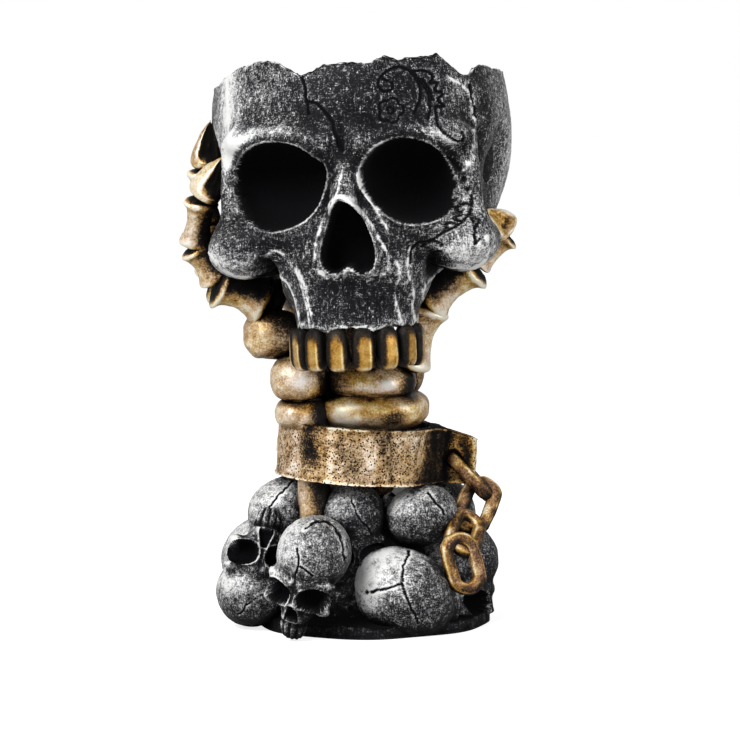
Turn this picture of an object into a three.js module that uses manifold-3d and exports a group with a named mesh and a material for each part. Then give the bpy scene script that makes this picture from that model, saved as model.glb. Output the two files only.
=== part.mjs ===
// A skull planter: a broken-topped skull bowl held in a skeleton hand, whose shackled wrist stands in a heap
// of small skulls on a flat plinth. Millimetres, +Z up, the face towards -Y, the origin under the plinth.
import * as THREE from "three";
import { mergeVertices } from "three/addons/utils/BufferGeometryUtils.js";
import Module from "manifold-3d";

// The skull bowl
const skullHalfWidth = 46.5;
const skullHalfDepth = 50;
const skullHeight = 94;
const skullFoot = 82.5;
const skullShift = 4;
const skullYaw = -7;
const skullRoll = -2.5;
const skullWall = 4.5;
const rimBreak = 12;
const bowlFloor = 112;
const socketWidth = 27.4;
const socketHeight = 25.6;
const socketDepth = 18;
const socketSpacing = 39.4;
const noseWidth = 17;
const noseHeight = 20;
const toothWidth = 7.3;
const toothHeight = 13;
const toothDepth = 5.4;
const toothCount = 8;

// The hand and the forearm
const knuckleRadius = 4.8;
const clawRadius = 5.8;
const thumbRadius = 7.2;
const metacarpalRadius = 8.6;
const wristHalfWidth = 20;
const wristLevel = 62;
const palmHeight = 36;
const shaftRadius = 5.2;

// The shackle and its chain
const cuffRadius = 25.2;
const cuffShift = 1.7;
const cuffWall = 3;
const cuffHeight = 17.5;
const cuffLevel = 54.6;
const cuffTilt = 3.5;
const lugReach = 39.6;
const lugThickness = 4.4;
const lugHoleRadius = 2.6;
const lugHoleReach = 31.6;
const linkWire = 2;
const linkLength = 20;
const linkWidth = 13;

// The heap and the plinth
const heapHalfWidth = 42;
const heapHalfDepth = 38;
const heapHeight = 47;
const crownHalfWidth = 12;
const plinthHeight = 4;
const plinthHalfWidth = 36;
const plinthHalfDepth = 33;
const moundHalfWidth = 27;
const moundHeight = 43;

// Bonded pieces stand a gap apart. A cutter reaches past what it cuts by an overrun. Points closer than the
// weld are one point.
const gap = 0.3;
const overrun = 20;
const weld = 1e-4;

const degree = Math.PI / 180;
const W = skullHalfWidth;
const D = skullHalfDepth;
const H = skullHeight / 2;

const silver = { color: 0x55565a, roughness: 0.5, metalness: 0.6 };
const bronze = { color: 0x9a7740, roughness: 0.45, metalness: 0.7 };
const slab = { color: 0x2a2a2e, roughness: 0.6, metalness: 0.4 };

const wasm = await Module();
wasm.setup();

// A closed geometry as a solid that can be cut and joined.
function solidOf(geometry) {
  const bare = new THREE.BufferGeometry();
  const flat = geometry.index ? geometry.toNonIndexed() : geometry;
  bare.setAttribute("position", flat.getAttribute("position").clone());
  const merged = mergeVertices(bare, weld);
  return new wasm.Manifold(
    new wasm.Mesh({
      numProp: 3,
      vertProperties: merged.getAttribute("position").array,
      triVerts: new Uint32Array(merged.index.array),
    }),
  );
}

// The geometry of a solid with its middle moved to the origin, and where that middle was.
function geometryOf(solid) {
  const cut = solid.getMesh();
  const points = new Float32Array(cut.numVert * 3);
  for (let i = 0; i < cut.numVert; i++) {
    points.set(cut.vertProperties.subarray(i * cut.numProp, i * cut.numProp + 3), i * 3);
  }
  const geometry = new THREE.BufferGeometry();
  geometry.setAttribute("position", new THREE.BufferAttribute(points, 3));
  geometry.setIndex(new THREE.BufferAttribute(cut.triVerts, 1));
  geometry.computeBoundingBox();
  const middle = geometry.boundingBox.getCenter(new THREE.Vector3());
  geometry.translate(-middle.x, -middle.y, -middle.z);
  geometry.computeVertexNormals();
  return { geometry, middle };
}

const planter = new THREE.Group();
const neighbours = [];

// Places a piece, cut back from every piece that is there already. What a cut shaves off is left out.
function place(name, finish, shape) {
  let solid = shape(0);
  const box = solid.boundingBox();
  for (const other of neighbours) {
    const apart = [0, 1, 2].some(
      (k) => other.box.min[k] > box.max[k] || other.box.max[k] < box.min[k],
    );
    if (!apart) solid = solid.subtract(other.grown);
  }
  const main = solid.decompose().reduce((a, b) => (a.volume() > b.volume() ? a : b));
  const { geometry, middle } = geometryOf(main);
  const mesh = new THREE.Mesh(geometry, new THREE.MeshStandardMaterial(finish));
  mesh.name = name;
  mesh.position.copy(middle);
  planter.add(mesh);
  const grown = shape(gap);
  neighbours.push({ grown, box: grown.boundingBox() });
}

// Distance fields: below zero inside a form, above zero outside it.
function ball(centre, reach) {
  return (p) => {
    const x = (p.x - centre[0]) / reach[0];
    const y = (p.y - centre[1]) / reach[1];
    const z = (p.z - centre[2]) / reach[2];
    const k = Math.hypot(x, y, z);
    const g = Math.hypot(x / reach[0], y / reach[1], z / reach[2]);
    return g > 0 ? (k * (k - 1)) / g : -Math.min(...reach);
  };
}

function rod(from, to, startRadius, endRadius) {
  const a = new THREE.Vector3(...from);
  const along = new THREE.Vector3(...to).sub(a);
  const q = new THREE.Vector3();
  return (p) => {
    q.copy(p).sub(a);
    const t = Math.min(1, Math.max(0, q.dot(along) / along.lengthSq()));
    return q.addScaledVector(along, -t).length() - (startRadius + t * (endRadius - startRadius));
  };
}

const mirrored = (field) => (p) => field({ x: Math.abs(p.x), y: p.y, z: p.z });

function blend(a, b, soft) {
  const h = Math.max(soft - Math.abs(a - b), 0) / soft;
  return Math.min(a, b) - (h * h * soft) / 4;
}

const carve = (a, b, soft) => -blend(-a, b, soft);

// Forms from two tables of shares of a size along X, Y and Z: rods by both ends and their radii, balls by
// middle and reach, and how softly each joins the rest. Each form is on both sides.
function formsOf(rodShares, ballShares, [w, d, h]) {
  const spot = ([x, y, z]) => [x * w, y * d, z * h];
  const rods = rodShares.map(([from, to, [start, end], soft]) => [
    mirrored(rod(spot(from), spot(to), start * w, end * w)),
    soft * w,
  ]);
  const balls = ballShares.map(([middle, reach, soft]) => [mirrored(ball(spot(middle), spot(reach))), soft * w]);
  return [...rods, ...balls];
}

const joined = (base, forms) => (p) => forms.reduce((d, [form, soft]) => blend(d, form(p), soft), base(p));

// A sphere of vertices round a centre, each slid in along its ray until it meets a field's surface.
// The columns crowd towards the face by the crowding share.
const castStepShare = 0.6;
const castLeastShare = 0.004;
const castHalvings = 14;

function castForm(field, centre, reach, columns, rows, crowdingShare = 0) {
  const sphere = new THREE.SphereGeometry(1, columns, rows).rotateX(Math.PI / 2);
  const spots = sphere.getAttribute("position");
  const p = new THREE.Vector3();
  const ray = new THREE.Vector3();
  const depthAt = (t) => field(p.copy(centre).addScaledVector(ray, t));
  for (let i = 0; i < spots.count; i++) {
    ray.fromBufferAttribute(spots, i);
    const turn = Math.atan2(ray.x, -ray.y);
    const crowded = turn - crowdingShare * Math.sin(turn);
    const level = Math.hypot(ray.x, ray.y);
    ray.set(level * Math.sin(crowded), -level * Math.cos(crowded), ray.z);
    let outside = reach;
    let inside = reach;
    while (inside > 0 && depthAt(inside) > 0) {
      outside = inside;
      inside -= Math.max(depthAt(inside) * castStepShare, reach * castLeastShare);
    }
    inside = Math.max(inside, reach * castLeastShare);
    for (let n = 0; n < castHalvings; n++) {
      const t = (outside + inside) / 2;
      if (depthAt(t) > 0) outside = t;
      else inside = t;
    }
    p.copy(centre).addScaledVector(ray, inside);
    spots.setXYZ(i, p.x, p.y, p.z);
  }
  return sphere;
}

// A box pulled towards an ellipsoid: the squareness runs from 1, an ellipsoid, down to 0, a box.
function pebble(reach, columns, rows, squareness) {
  const sphere = new THREE.SphereGeometry(1, columns, rows).rotateX(Math.PI / 2);
  const spots = sphere.getAttribute("position");
  const squared = (v) => Math.sign(v) * Math.abs(v) ** squareness;
  for (let i = 0; i < spots.count; i++) {
    const [x, y, z] = [spots.getX(i), spots.getY(i), spots.getZ(i)].map(squared);
    spots.setXYZ(i, reach[0] * x, reach[1] * y, reach[2] * z);
  }
  return sphere;
}

// The skull bowl, in its own frame: the middle of its height at the origin, the face towards -Y.
const skullPose = new THREE.Matrix4().compose(
  new THREE.Vector3(skullShift, 0, skullFoot + H),
  new THREE.Quaternion().setFromEuler(new THREE.Euler(0, skullRoll * degree, skullYaw * degree, "ZYX")),
  new THREE.Vector3(1, 1, 1),
);

// The cranium's middle in shares of the half depth and half height, and how far it reaches up and down.
const craniumSetbackShare = 0.05;
const craniumLevelShare = 0.48;
const craniumTopShare = 1.28;
const craniumBottomShare = 1.13;

function craniumBall(inset, upShare) {
  const middle = [0, D * craniumSetbackShare, H * craniumLevelShare];
  const up = ball(middle, [W - inset, D - inset, H * upShare - inset]);
  const down = ball(middle, [W - inset, D - inset, H * craniumBottomShare - inset]);
  return (p) => (p.z > middle[2] ? up(p) : down(p));
}

// The brow, the outer edge of the orbit, the cheek's arch and the bridge of the nose.
const faceRodShares = [
  [[0.11, -0.92, 0.46], [0.7, -0.69, 0.47], [0.095, 0.085], 0.1],
  [[0.76, -0.6, 0.42], [0.78, -0.6, -0.06], [0.078, 0.085], 0.08],
  [[0.87, -0.46, -0.2], [0.9, -0.04, -0.14], [0.1, 0.08], 0.08],
  [[0, -0.9, 0.32], [0, -1.0, 0.06], [0.075, 0.09], 0.08],
];
// The middle of the face, the cheek bone, the ledge under the orbit and the gums.
const faceBallShares = [
  [[0, -0.52, -0.2], [0.56, 0.42, 0.62], 0.14],
  [[0.7, -0.62, -0.22], [0.25, 0.22, 0.2], 0.1],
  [[0.47, -0.6, -0.13], [0.24, 0.22, 0.12], 0.1],
  [[0, -0.58, -0.72], [0.4, 0.37, 0.52], 0.08],
];
// What is carved away: the temple, and the notch under the cheek bone.
const faceCarvingShares = [
  [[1.185, -0.25, 0.1], [0.36, 0.36, 0.52], 0.08],
  [[0.55, -0.7, -0.42], [0.07, 0.3, 0.15], 0.03],
];

const face = joined(craniumBall(0, craniumTopShare), formsOf(faceRodShares, faceBallShares, [W, D, H]));
const faceCarvings = formsOf([], faceCarvingShares, [W, D, H]);
const skullField = (p) => faceCarvings.reduce((d, [form, soft]) => carve(d, form(p), soft), face(p));

// An eye socket: a blind bore with a rounded end, flat-sided near its mouth. Each side has its own outline, in
// shares of the socket's width and height from its middle, starting at the top and going towards the left.
const socketFaceShare = 0.84;
const socketLevelShare = 0.18;
const socketRows = 8;
const socketSides = 26;
const socketShares = {
  right: [
    [-0.06, 0.5], [0.22, 0.44], [0.42, 0.31], [0.52, 0.21], [0.48, 0.07], [0.37, -0.22], [0.19, -0.41], [-0.09, -0.51],
    [-0.33, -0.41], [-0.46, -0.2], [-0.5, 0.13], [-0.4, 0.36], [-0.26, 0.46],
  ],
  left: [
    [-0.04, 0.49], [0.23, 0.42], [0.39, 0.25], [0.49, -0.01], [0.46, -0.24], [0.34, -0.4], [0.08, -0.48],
    [-0.16, -0.44], [-0.34, -0.29], [-0.47, -0.11], [-0.51, 0.15], [-0.4, 0.35], [-0.23, 0.46],
  ],
};

function socket(side) {
  const profile = [];
  for (let i = 0; i <= socketRows; i++) {
    const t = (2 * i) / socketRows - 1;
    profile.push(new THREE.Vector2(Math.sqrt(1 - t ** 4), t));
  }
  const shares = socketShares[side < 0 ? "right" : "left"].map(([x, z]) => new THREE.Vector2(x, z));
  const outline = new THREE.SplineCurve([...shares, shares[0]]).getPoints(socketSides);
  const bore = new THREE.LatheGeometry(profile, socketSides);
  const spots = bore.getAttribute("position");
  for (let i = 0; i < spots.count; i++) {
    const spot = outline[Math.floor(i / profile.length) % socketSides];
    const reach = Math.hypot(spots.getX(i), spots.getZ(i));
    spots.setXYZ(i, spot.x * reach, spots.getY(i), spot.y * reach);
  }
  return bore
    .scale(socketWidth, socketDepth, socketHeight)
    .translate((side * socketSpacing) / 2, -D * socketFaceShare, H * socketLevelShare);
}

// The opening of the nose: one side of an upside-down heart, in shares of its width and height.
const noseShares = [[0.14, 0.38], [0.28, 0.12], [0.42, -0.14], [0.49, -0.34], [0.39, -0.5], [0.2, -0.47], [0, -0.34]];
const noseTopShare = 0.5;
const noseLevelShare = -0.15;
const noseSetbackShare = 0.72;

function noseOpening() {
  const side = noseShares.map(([x, z]) => new THREE.Vector2(x * noseWidth, z * noseHeight));
  const top = new THREE.Vector2(0, noseTopShare * noseHeight);
  const back = side.slice(0, -1).reverse();
  const heart = new THREE.Shape([top, ...side, ...back.map((p) => new THREE.Vector2(-p.x, p.y))]);
  return new THREE.ExtrudeGeometry(heart, { depth: D, bevelEnabled: false })
    .rotateX(Math.PI / 2)
    .translate(0, -D * noseSetbackShare, H * noseLevelShare);
}

// The gums end in a flat edge that the teeth stand on.
const gumEdgeShare = 0.86;

function belowGums(grow) {
  const edge = -H + toothHeight * gumEdgeShare - grow;
  return new THREE.BoxGeometry(W * 3, D * 3, overrun).translate(0, 0, edge - overrun / 2);
}

// The planting hollow keeps a wall's thickness inside the cranium and stands back from the sockets.
const hollowTopShare = 1.6;
const hollowMiddleShare = 0.4;
const hollowSetbackShare = 0.1;
const shelfSteepness = 2.2;
const hollowColumns = 44;
const hollowRows = 22;

function hollow() {
  const floor = bowlFloor - skullFoot - H;
  const front = -D * socketFaceShare + socketDepth + skullWall;
  const shelf = H * socketLevelShare + socketHeight / 2 + skullWall;
  const inner = craniumBall(skullWall, hollowTopShare);
  const behind = (p) => front - Math.max(0, p.z - shelf) * shelfSteepness - p.y;
  const field = (p) => Math.max(inner(p), floor - p.z, behind(p));
  const middle = new THREE.Vector3(0, D * hollowSetbackShare, H * hollowMiddleShare);
  return castForm(field, middle, D * 2, hollowColumns, hollowRows);
}

// The broken rim: at each bearing from the face, how deep the break is, as a share of the deepest one.
const rimShares = [
  [-180, 0.95], [-165, 1], [-150, 0.86], [-135, 0.94], [-120, 0.78], [-100, 0.82], [-82, 0.7], [-68, 0.55],
  [-60, 0.4], [-52, 0.22], [-42, 0.08], [-34, 0], [-26, 0.08], [-20, 0.22], [-15, 0.42], [-10, 0.3], [-4, 0.17],
  [4, 0.17], [10, 0.18], [16, 0.03], [22, 0.12], [28, 0.1], [34, 0.06], [39, 0], [43, 0.22], [49, 0.54],
  [53, 0.6], [58, 0.42], [65, 0.33], [76, 0.44], [97, 0.52], [112, 0.7], [126, 0.62], [142, 0.88], [160, 1],
  [180, 0.95],
];
const rimSides = 60;

function rimBreakAt(bearing) {
  const i = Math.max(1, rimShares.findIndex(([b]) => b >= bearing));
  const [b0, s0] = rimShares[i - 1];
  const [b1, s1] = rimShares[i];
  return rimBreak * (s0 + ((s1 - s0) * (bearing - b0)) / (b1 - b0));
}

// A lid over the skull whose underside follows the broken rim where it crosses the wall.
function brokenTop() {
  const radius = W + overrun;
  const middle = H - rimBreak / 2;
  const lid = new THREE.CylinderGeometry(radius, radius, overrun * 2, rimSides).rotateX(Math.PI / 2);
  const spots = lid.getAttribute("position");
  for (let i = 0; i < spots.count; i++) {
    const [x, y] = [spots.getX(i), spots.getY(i)];
    const edge = H - rimBreakAt(Math.atan2(x, -y) / degree);
    const out = Math.hypot(x, y) > radius / 2;
    const lower = out ? middle + ((edge - middle) * radius) / W : middle;
    spots.setZ(i, spots.getZ(i) < 0 ? lower : H + overrun * 2);
  }
  return lid;
}

const skullSetbackShare = 0.04;
const skullReachShare = 1.7;
const skullCrowdingShare = 0.42;
const skullColumns = 62;
const skullRows = 42;

place("skull_bowl", silver, (grow) => {
  const field = (p) => skullField(p) - grow;
  const middle = new THREE.Vector3(0, D * skullSetbackShare, 0);
  const skin = castForm(field, middle, D * skullReachShare, skullColumns, skullRows, skullCrowdingShare);
  const full = solidOf(skin.applyMatrix4(skullPose)).subtract(solidOf(belowGums(grow).applyMatrix4(skullPose)));
  if (grow) return full;
  return [socket(-1), socket(1), noseOpening(), hollow(), brokenTop()].reduce(
    (solid, cutter) => solid.subtract(solidOf(cutter.applyMatrix4(skullPose))),
    full,
  );
});

// The upper teeth stand round the gum arch, each a rounded peg.
const archWidthShare = 0.385;
const archDepthShare = 0.34;
const archSetbackShare = 0.61;
const toothInsetShare = 0.2;
const toothFillShare = 0.47;
const toothSquareness = 0.6;
const toothSides = 8;
const toothRows = 6;

for (let i = 0; i < toothCount; i++) {
  const rank = i - (toothCount - 1) / 2;
  const turn = (rank * toothWidth) / ((W * archWidthShare + D * archDepthShare) / 2);
  const x = W * archWidthShare * Math.sin(turn);
  const y = -D * archSetbackShare - D * archDepthShare * Math.cos(turn) + toothDepth * toothInsetShare;
  const name = `upper_tooth_${rank < 0 ? "right" : "left"}_${Math.ceil(Math.abs(rank))}`;
  place(name, bronze, (grow) => {
    const reach = [toothWidth * toothFillShare, toothDepth / 2, toothHeight / 2].map((r) => r + grow);
    const peg = pebble(reach, toothSides, toothRows, toothSquareness);
    return solidOf(peg.rotateZ(turn).translate(x, y, -H + toothHeight / 2).applyMatrix4(skullPose));
  });
}

// The wrist bones, in shares of the wrist's half width and the palm's height: middle, then reach.
const carpalShares = [
  ["capitate", [0.1, 0.3, 0.75], [0.62, 0.62, 0.29]],
  ["lunate", [0.32, -0.42, 0.4], [0.7, 0.66, 0.18]],
  ["triquetrum", [-0.78, -0.4, 0.42], [0.47, 0.62, 0.215]],
  ["hamate", [-1.22, -0.12, 0.79], [0.47, 0.46, 0.23]],
  ["trapezoid", [0.75, 0.52, 0.5], [0.42, 0.46, 0.3]],
  ["pisiform", [-0.62, 0.5, 0.45], [0.46, 0.46, 0.28]],
];
const blockSquareness = 0.8;
const blockSides = 12;
const blockRows = 8;

function wristBlock([x, y, z], [a, b, c], grow) {
  const reach = [a * wristHalfWidth + grow, b * wristHalfWidth + grow, c * palmHeight + grow];
  return pebble(reach, blockSides, blockRows, blockSquareness).translate(
    x * wristHalfWidth,
    y * wristHalfWidth,
    wristLevel + z * palmHeight,
  );
}

for (const [name, middle, reach] of carpalShares) {
  place(name, bronze, (grow) => solidOf(wristBlock(middle, reach, grow)));
}

// A long bone knuckled at both ends, a claw and a plain shaft, in shares of the bone's length and radius.
const knuckledShares = [
  [0, 0], [0.01, 0.72], [0.1, 1], [0.28, 0.8], [0.52, 0.7], [0.76, 0.82], [0.9, 1.04], [0.99, 0.76], [1, 0],
];
const clawShares = [[0, 0], [0.01, 0.72], [0.12, 1.06], [0.36, 0.98], [0.64, 0.7], [0.86, 0.32], [1, 0]];
const shaftShares = [[0, 0], [0.001, 0.94], [0.5, 1], [0.999, 1.02], [1, 0]];
const boneFlatness = 1.15;
const palmFlatness = 0.95;
const clawFlatness = 0.85;
const boneSides = 8;

function bone(from, to, radius, shares, flatness, grow) {
  const a = new THREE.Vector3(...from);
  const along = new THREE.Vector3(...to).sub(a);
  const last = shares.length - 1;
  const profile = shares.map(([t, r], i) => {
    if (i === 0) return new THREE.Vector2(0, -grow);
    if (i === last) return new THREE.Vector2(0, along.length() + grow);
    return new THREE.Vector2(r * radius + grow, t * along.length());
  });
  const out = new THREE.Vector3(a.x + along.x / 2, a.y + along.y / 2, 0);
  const side = new THREE.Vector3().crossVectors(along, out).normalize();
  const facing = new THREE.Vector3().crossVectors(side, along).normalize();
  const frame = new THREE.Matrix4().makeBasis(side, along.normalize(), facing).setPosition(a);
  return new THREE.LatheGeometry(profile, boneSides).scale(1, 1, flatness).applyMatrix4(frame);
}

// The joints of each digit from the palm to the tip, in shares of the skull's half width, half depth and height.
const digitShares = {
  index: [
    [-0.56, -0.1, 0.19], [-0.88, -0.16, 0.262], [-1.02, -0.24, 0.38], [-0.97, -0.38, 0.536], [-0.81, -0.48, 0.68],
  ],
  middle: [
    [-0.45, 0.14, 0.17], [-0.93, 0.16, 0.27], [-0.98, 0.06, 0.45], [-0.965, -0.03, 0.625], [-0.925, -0.09, 0.79],
  ],
  ring: [[-0.25, 0.36, 0.15], [-0.52, 0.7, 0.24], [-0.62, 0.86, 0.39], [-0.58, 0.82, 0.56], [-0.55, 0.79, 0.71]],
  little: [[0.05, 0.4, 0.14], [0.11, 0.84, 0.2], [0.15, 1.03, 0.35], [0.17, 1.02, 0.5], [0.2, 1.02, 0.63]],
  thumb: [[0.35, -0.18, -0.02], [0.49, -0.22, 0.195], [0.81, -0.28, 0.325], [1.02, -0.31, 0.425], [0.88, -0.4, 0.505]],
};
const boneNames = ["metacarpal", "proximal_phalanx", "middle_phalanx", "distal_phalanx"];
const thumbNames = ["scaphoid", "thumb_metacarpal", "thumb_proximal_phalanx", "thumb_distal_phalanx"];
const onSkull = ([x, y, z]) => [x * W, y * D, skullFoot + z * skullHeight];

// The radius of a digit's bone and its flatness. The palm's end of the thumb is stouter than a finger.
function boneSize(digit, i, claw) {
  if (claw) return [clawRadius, clawFlatness];
  if (digit === "thumb" && i < 2) return [thumbRadius, boneFlatness];
  return i ? [knuckleRadius, boneFlatness] : [metacarpalRadius, palmFlatness];
}

for (const [digit, joints] of Object.entries(digitShares)) {
  for (let i = 0; i < joints.length - 1; i++) {
    const claw = i === joints.length - 2;
    const name = digit === "thumb" ? thumbNames[i] : `${digit}_${boneNames[i]}`;
    const [radius, flatness] = boneSize(digit, i, claw);
    const shares = claw ? clawShares : knuckledShares;
    const [from, to] = [onSkull(joints[i]), onSkull(joints[i + 1])];
    place(name, bronze, (grow) => solidOf(bone(from, to, radius, shares, flatness, grow)));
  }
}

// The forearm: each bone is a shaft up through the shackle with a broad head on top. The shaft's place is in
// shares of the wrist's half width, the head's middle and reach are as for the wrist bones.
const forearmShares = [
  ["ulna", [-0.56, -0.62], [-0.8, -0.42, 0.13], [0.38, 0.54, 0.14]],
  ["radius", [0.5, 0.2], [0.34, -0.16, 0.16], [0.9, 0.94, 0.2]],
];
for (const [name, [x, y], middle, reach] of forearmShares) {
  const foot = [x * wristHalfWidth, y * wristHalfWidth, plinthHeight + gap];
  const top = [x * wristHalfWidth, y * wristHalfWidth, wristLevel + middle[2] * palmHeight];
  place(name, bronze, (grow) => {
    const head = solidOf(wristBlock(middle, reach, grow));
    return solidOf(bone(foot, top, shaftRadius, shaftShares, 1, grow)).add(head);
  });
}

// The shackle: a band round the wrist, its ends pressed into a lug with one hole.
const cuffBevel = 14;
const shoulderAngle = 30;
const lugHoleDropShare = 0.06;
const lugHoleDrop = cuffHeight * lugHoleDropShare;
const lugHoleSides = 12;

function cuffOutline(grow) {
  const radius = cuffRadius + grow;
  const half = lugThickness / 2 + grow;
  const reach = lugReach - cuffShift + grow;
  const turn = shoulderAngle * degree;
  const neck = cuffRadius + cuffWall / 2;
  const outline = new THREE.Shape();
  outline.absarc(0, 0, radius, turn, 2 * Math.PI - turn, false);
  outline.quadraticCurveTo(neck, -half * 2, neck + cuffWall / 2, -half);
  outline.lineTo(reach, -half);
  outline.lineTo(reach, half);
  outline.lineTo(neck + cuffWall / 2, half);
  outline.quadraticCurveTo(neck, half * 2, radius * Math.cos(turn), radius * Math.sin(turn));
  return outline;
}

function cuff(grow) {
  const outline = cuffOutline(grow);
  if (!grow) {
    outline.holes.push(new THREE.Path().absarc(0, 0, cuffRadius - cuffWall, 0, 2 * Math.PI, true));
  }
  const height = cuffHeight + 2 * grow;
  const band = new THREE.ExtrudeGeometry(outline, { depth: height, bevelEnabled: false, curveSegments: 12 });
  const tilted = (form) => solidOf(form.rotateY(cuffTilt * degree).translate(cuffShift, 0, cuffLevel));
  const solid = tilted(band.translate(0, 0, -height / 2));
  if (grow) return solid;
  const hole = new THREE.CylinderGeometry(lugHoleRadius, lugHoleRadius, overrun, lugHoleSides);
  const slope = new THREE.BoxGeometry(lugReach, lugReach * 2, overrun)
    .translate(lugReach / 2, 0, overrun / 2)
    .rotateY(cuffBevel * degree)
    .translate(cuffRadius, 0, cuffHeight / 2);
  return solid
    .subtract(tilted(hole.translate(lugHoleReach - cuffShift, 0, -lugHoleDrop)))
    .subtract(tilted(slope));
}
place("wrist_shackle", bronze, cuff);

// One chain link: a ring of round wire drawn out along its own Y, facing its own Z. Its steps are turned by
// half a step, so that none lies on the line that the two halves are drawn apart from.
const linkSteps = 12;
const linkSides = 7;

function link(grow) {
  const halfWidth = linkWidth / 2 - linkWire;
  const straight = (linkLength - linkWidth) / 2;
  const ring = new THREE.TorusGeometry(halfWidth, linkWire + grow, linkSides, linkSteps);
  const spots = ring.rotateZ(Math.PI / linkSteps).getAttribute("position");
  for (let i = 0; i < spots.count; i++) {
    const y = spots.getY(i);
    spots.setY(i, y + Math.sign(y) * straight);
  }
  return ring;
}

// Each link's middle from the lug's hole, in shares of a link's length, then its long way and its facing.
const chainShares = [
  [[0.28, 0, -0.29], [0.69, 0, -0.72], [0.72, 0, 0.69]],
  [[0.375, -0.18, -0.71], [-0.36, -0.45, -0.82], [0.1, -0.88, 0.44]],
  [[0.17, -0.665, -1.08], [-0.23, -0.83, -0.52], [0.5, -0.55, 0.66]],
  [[0.135, -1.04, -1.5], [0.27, -0.1, -0.96], [0.3, -0.94, 0.06]],
];

function standing(along, facing, spot) {
  const y = new THREE.Vector3(...along).normalize();
  const z = new THREE.Vector3(...facing);
  z.addScaledVector(y, -z.dot(y)).normalize();
  const x = new THREE.Vector3().crossVectors(y, z);
  return new THREE.Matrix4().makeBasis(x, y, z).setPosition(...spot);
}

chainShares.forEach(([middle, along, facing], i) => {
  const hole = [lugHoleReach, 0, cuffLevel - lugHoleDrop - lugHoleReach * Math.sin(cuffTilt * degree)];
  const spot = middle.map((share, k) => hole[k] + share * linkLength);
  place(`chain_link_${i + 1}`, bronze, (grow) => solidOf(link(grow).applyMatrix4(standing(along, facing, spot))));
});

// The plinth: a slab with an uneven edge, flat below, and the dark mound on it that the heap leans against.
// Each wave of the edge has a count, a height share and a turn. The mound's profile is in shares of its size.
const edgeWaveShares = [[3, 0.035, 1], [7, 0.02, 0]];
const edgeSides = 36;
const plinthShiftShares = [0.17, 0.06];
const moundShares = [[1, 0.3], [0.88, 0.5], [0.66, 0.7], [0.42, 0.88], [0.22, 1]];
const moundFlatness = 0.88;
const moundSides = 18;

function plinth(grow) {
  const outline = new THREE.Shape();
  for (let i = 0; i < edgeSides; i++) {
    const turn = (i / edgeSides) * 2 * Math.PI;
    const uneven = edgeWaveShares.reduce((sum, [count, height, on]) => sum + height * Math.sin(count * turn + on), 1);
    const x = (plinthHalfWidth + grow) * uneven * Math.cos(turn) + plinthHalfWidth * plinthShiftShares[0];
    const y = (plinthHalfDepth + grow) * uneven * Math.sin(turn) + plinthHalfDepth * plinthShiftShares[1];
    outline[i ? "lineTo" : "moveTo"](x, y);
  }
  const base = new THREE.ExtrudeGeometry(outline, { depth: plinthHeight + grow, bevelEnabled: false });
  const [foot, top] = [plinthHeight / 2, moundHeight + grow];
  const side = moundShares.map(([r, z]) => new THREE.Vector2(r * moundHalfWidth + grow, z * top));
  const profile = [new THREE.Vector2(0, foot), new THREE.Vector2(moundHalfWidth + grow, foot), ...side];
  const mound = new THREE.LatheGeometry([...profile, new THREE.Vector2(0, top)], moundSides);
  return solidOf(base).add(solidOf(mound.rotateX(Math.PI / 2).scale(1, moundFlatness, 1)));
}
place("plinth", slab, plinth);

// A small skull in shares of its half width: the crown's middle at the origin, the face towards -Y. The rods
// are the brow, the orbit's outer edge and the nose, the balls the face, the cheek bone and the gums.
const smallCrownShares = [[0, 0.2, 0], [1, 1.22, 1.02]];
const smallRodShares = [
  [[0.14, -0.84, -0.56], [0.78, -0.6, -0.5], [0.16, 0.14], 0.2],
  [[0.87, -0.45, -1.1], [0.9, -0.42, -0.55], [0.12, 0.12], 0.1],
  [[0, -0.84, -0.7], [0, -0.98, -1.08], [0.1, 0.13], 0.1],
];
const smallBallShares = [
  [[0, -0.46, -1.0], [0.62, 0.48, 0.72], 0.24],
  [[0.69, -0.52, -1.2], [0.3, 0.32, 0.2], 0.16],
  [[0, -0.52, -1.76], [0.4, 0.4, 0.64], 0.16],
];
const smallTempleShares = [[1.12, -0.3, -0.9], [0.3, 0.4, 0.46]];
const smallTempleSoftShare = 0.12;
const smallJawShare = 2.26;
const smallHollowShares = [
  [[-0.49, -0.94, -0.88], [0.35, 0.42, 0.3]],
  [[0.49, -0.94, -0.88], [0.35, 0.42, 0.3]],
  [[0, -1.08, -1.34], [0.15, 0.34, 0.23]],
];
const smallCentreShares = [0, -0.1, -0.45];
const smallReachShare = 3;
const smallCrowdingShare = 0.25;
const smallColumns = 12;
const smallRows = 9;
const hollowSides = 7;
const hollowRings = 4;

const smallForms = formsOf(smallRodShares, smallBallShares, [1, 1, 1]);
const smallFace = joined(ball(...smallCrownShares), smallForms);
const smallTemple = mirrored(ball(...smallTempleShares));
const smallSkullField = (p) => carve(smallFace(p), smallTemple(p), smallTempleSoftShare);

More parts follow.
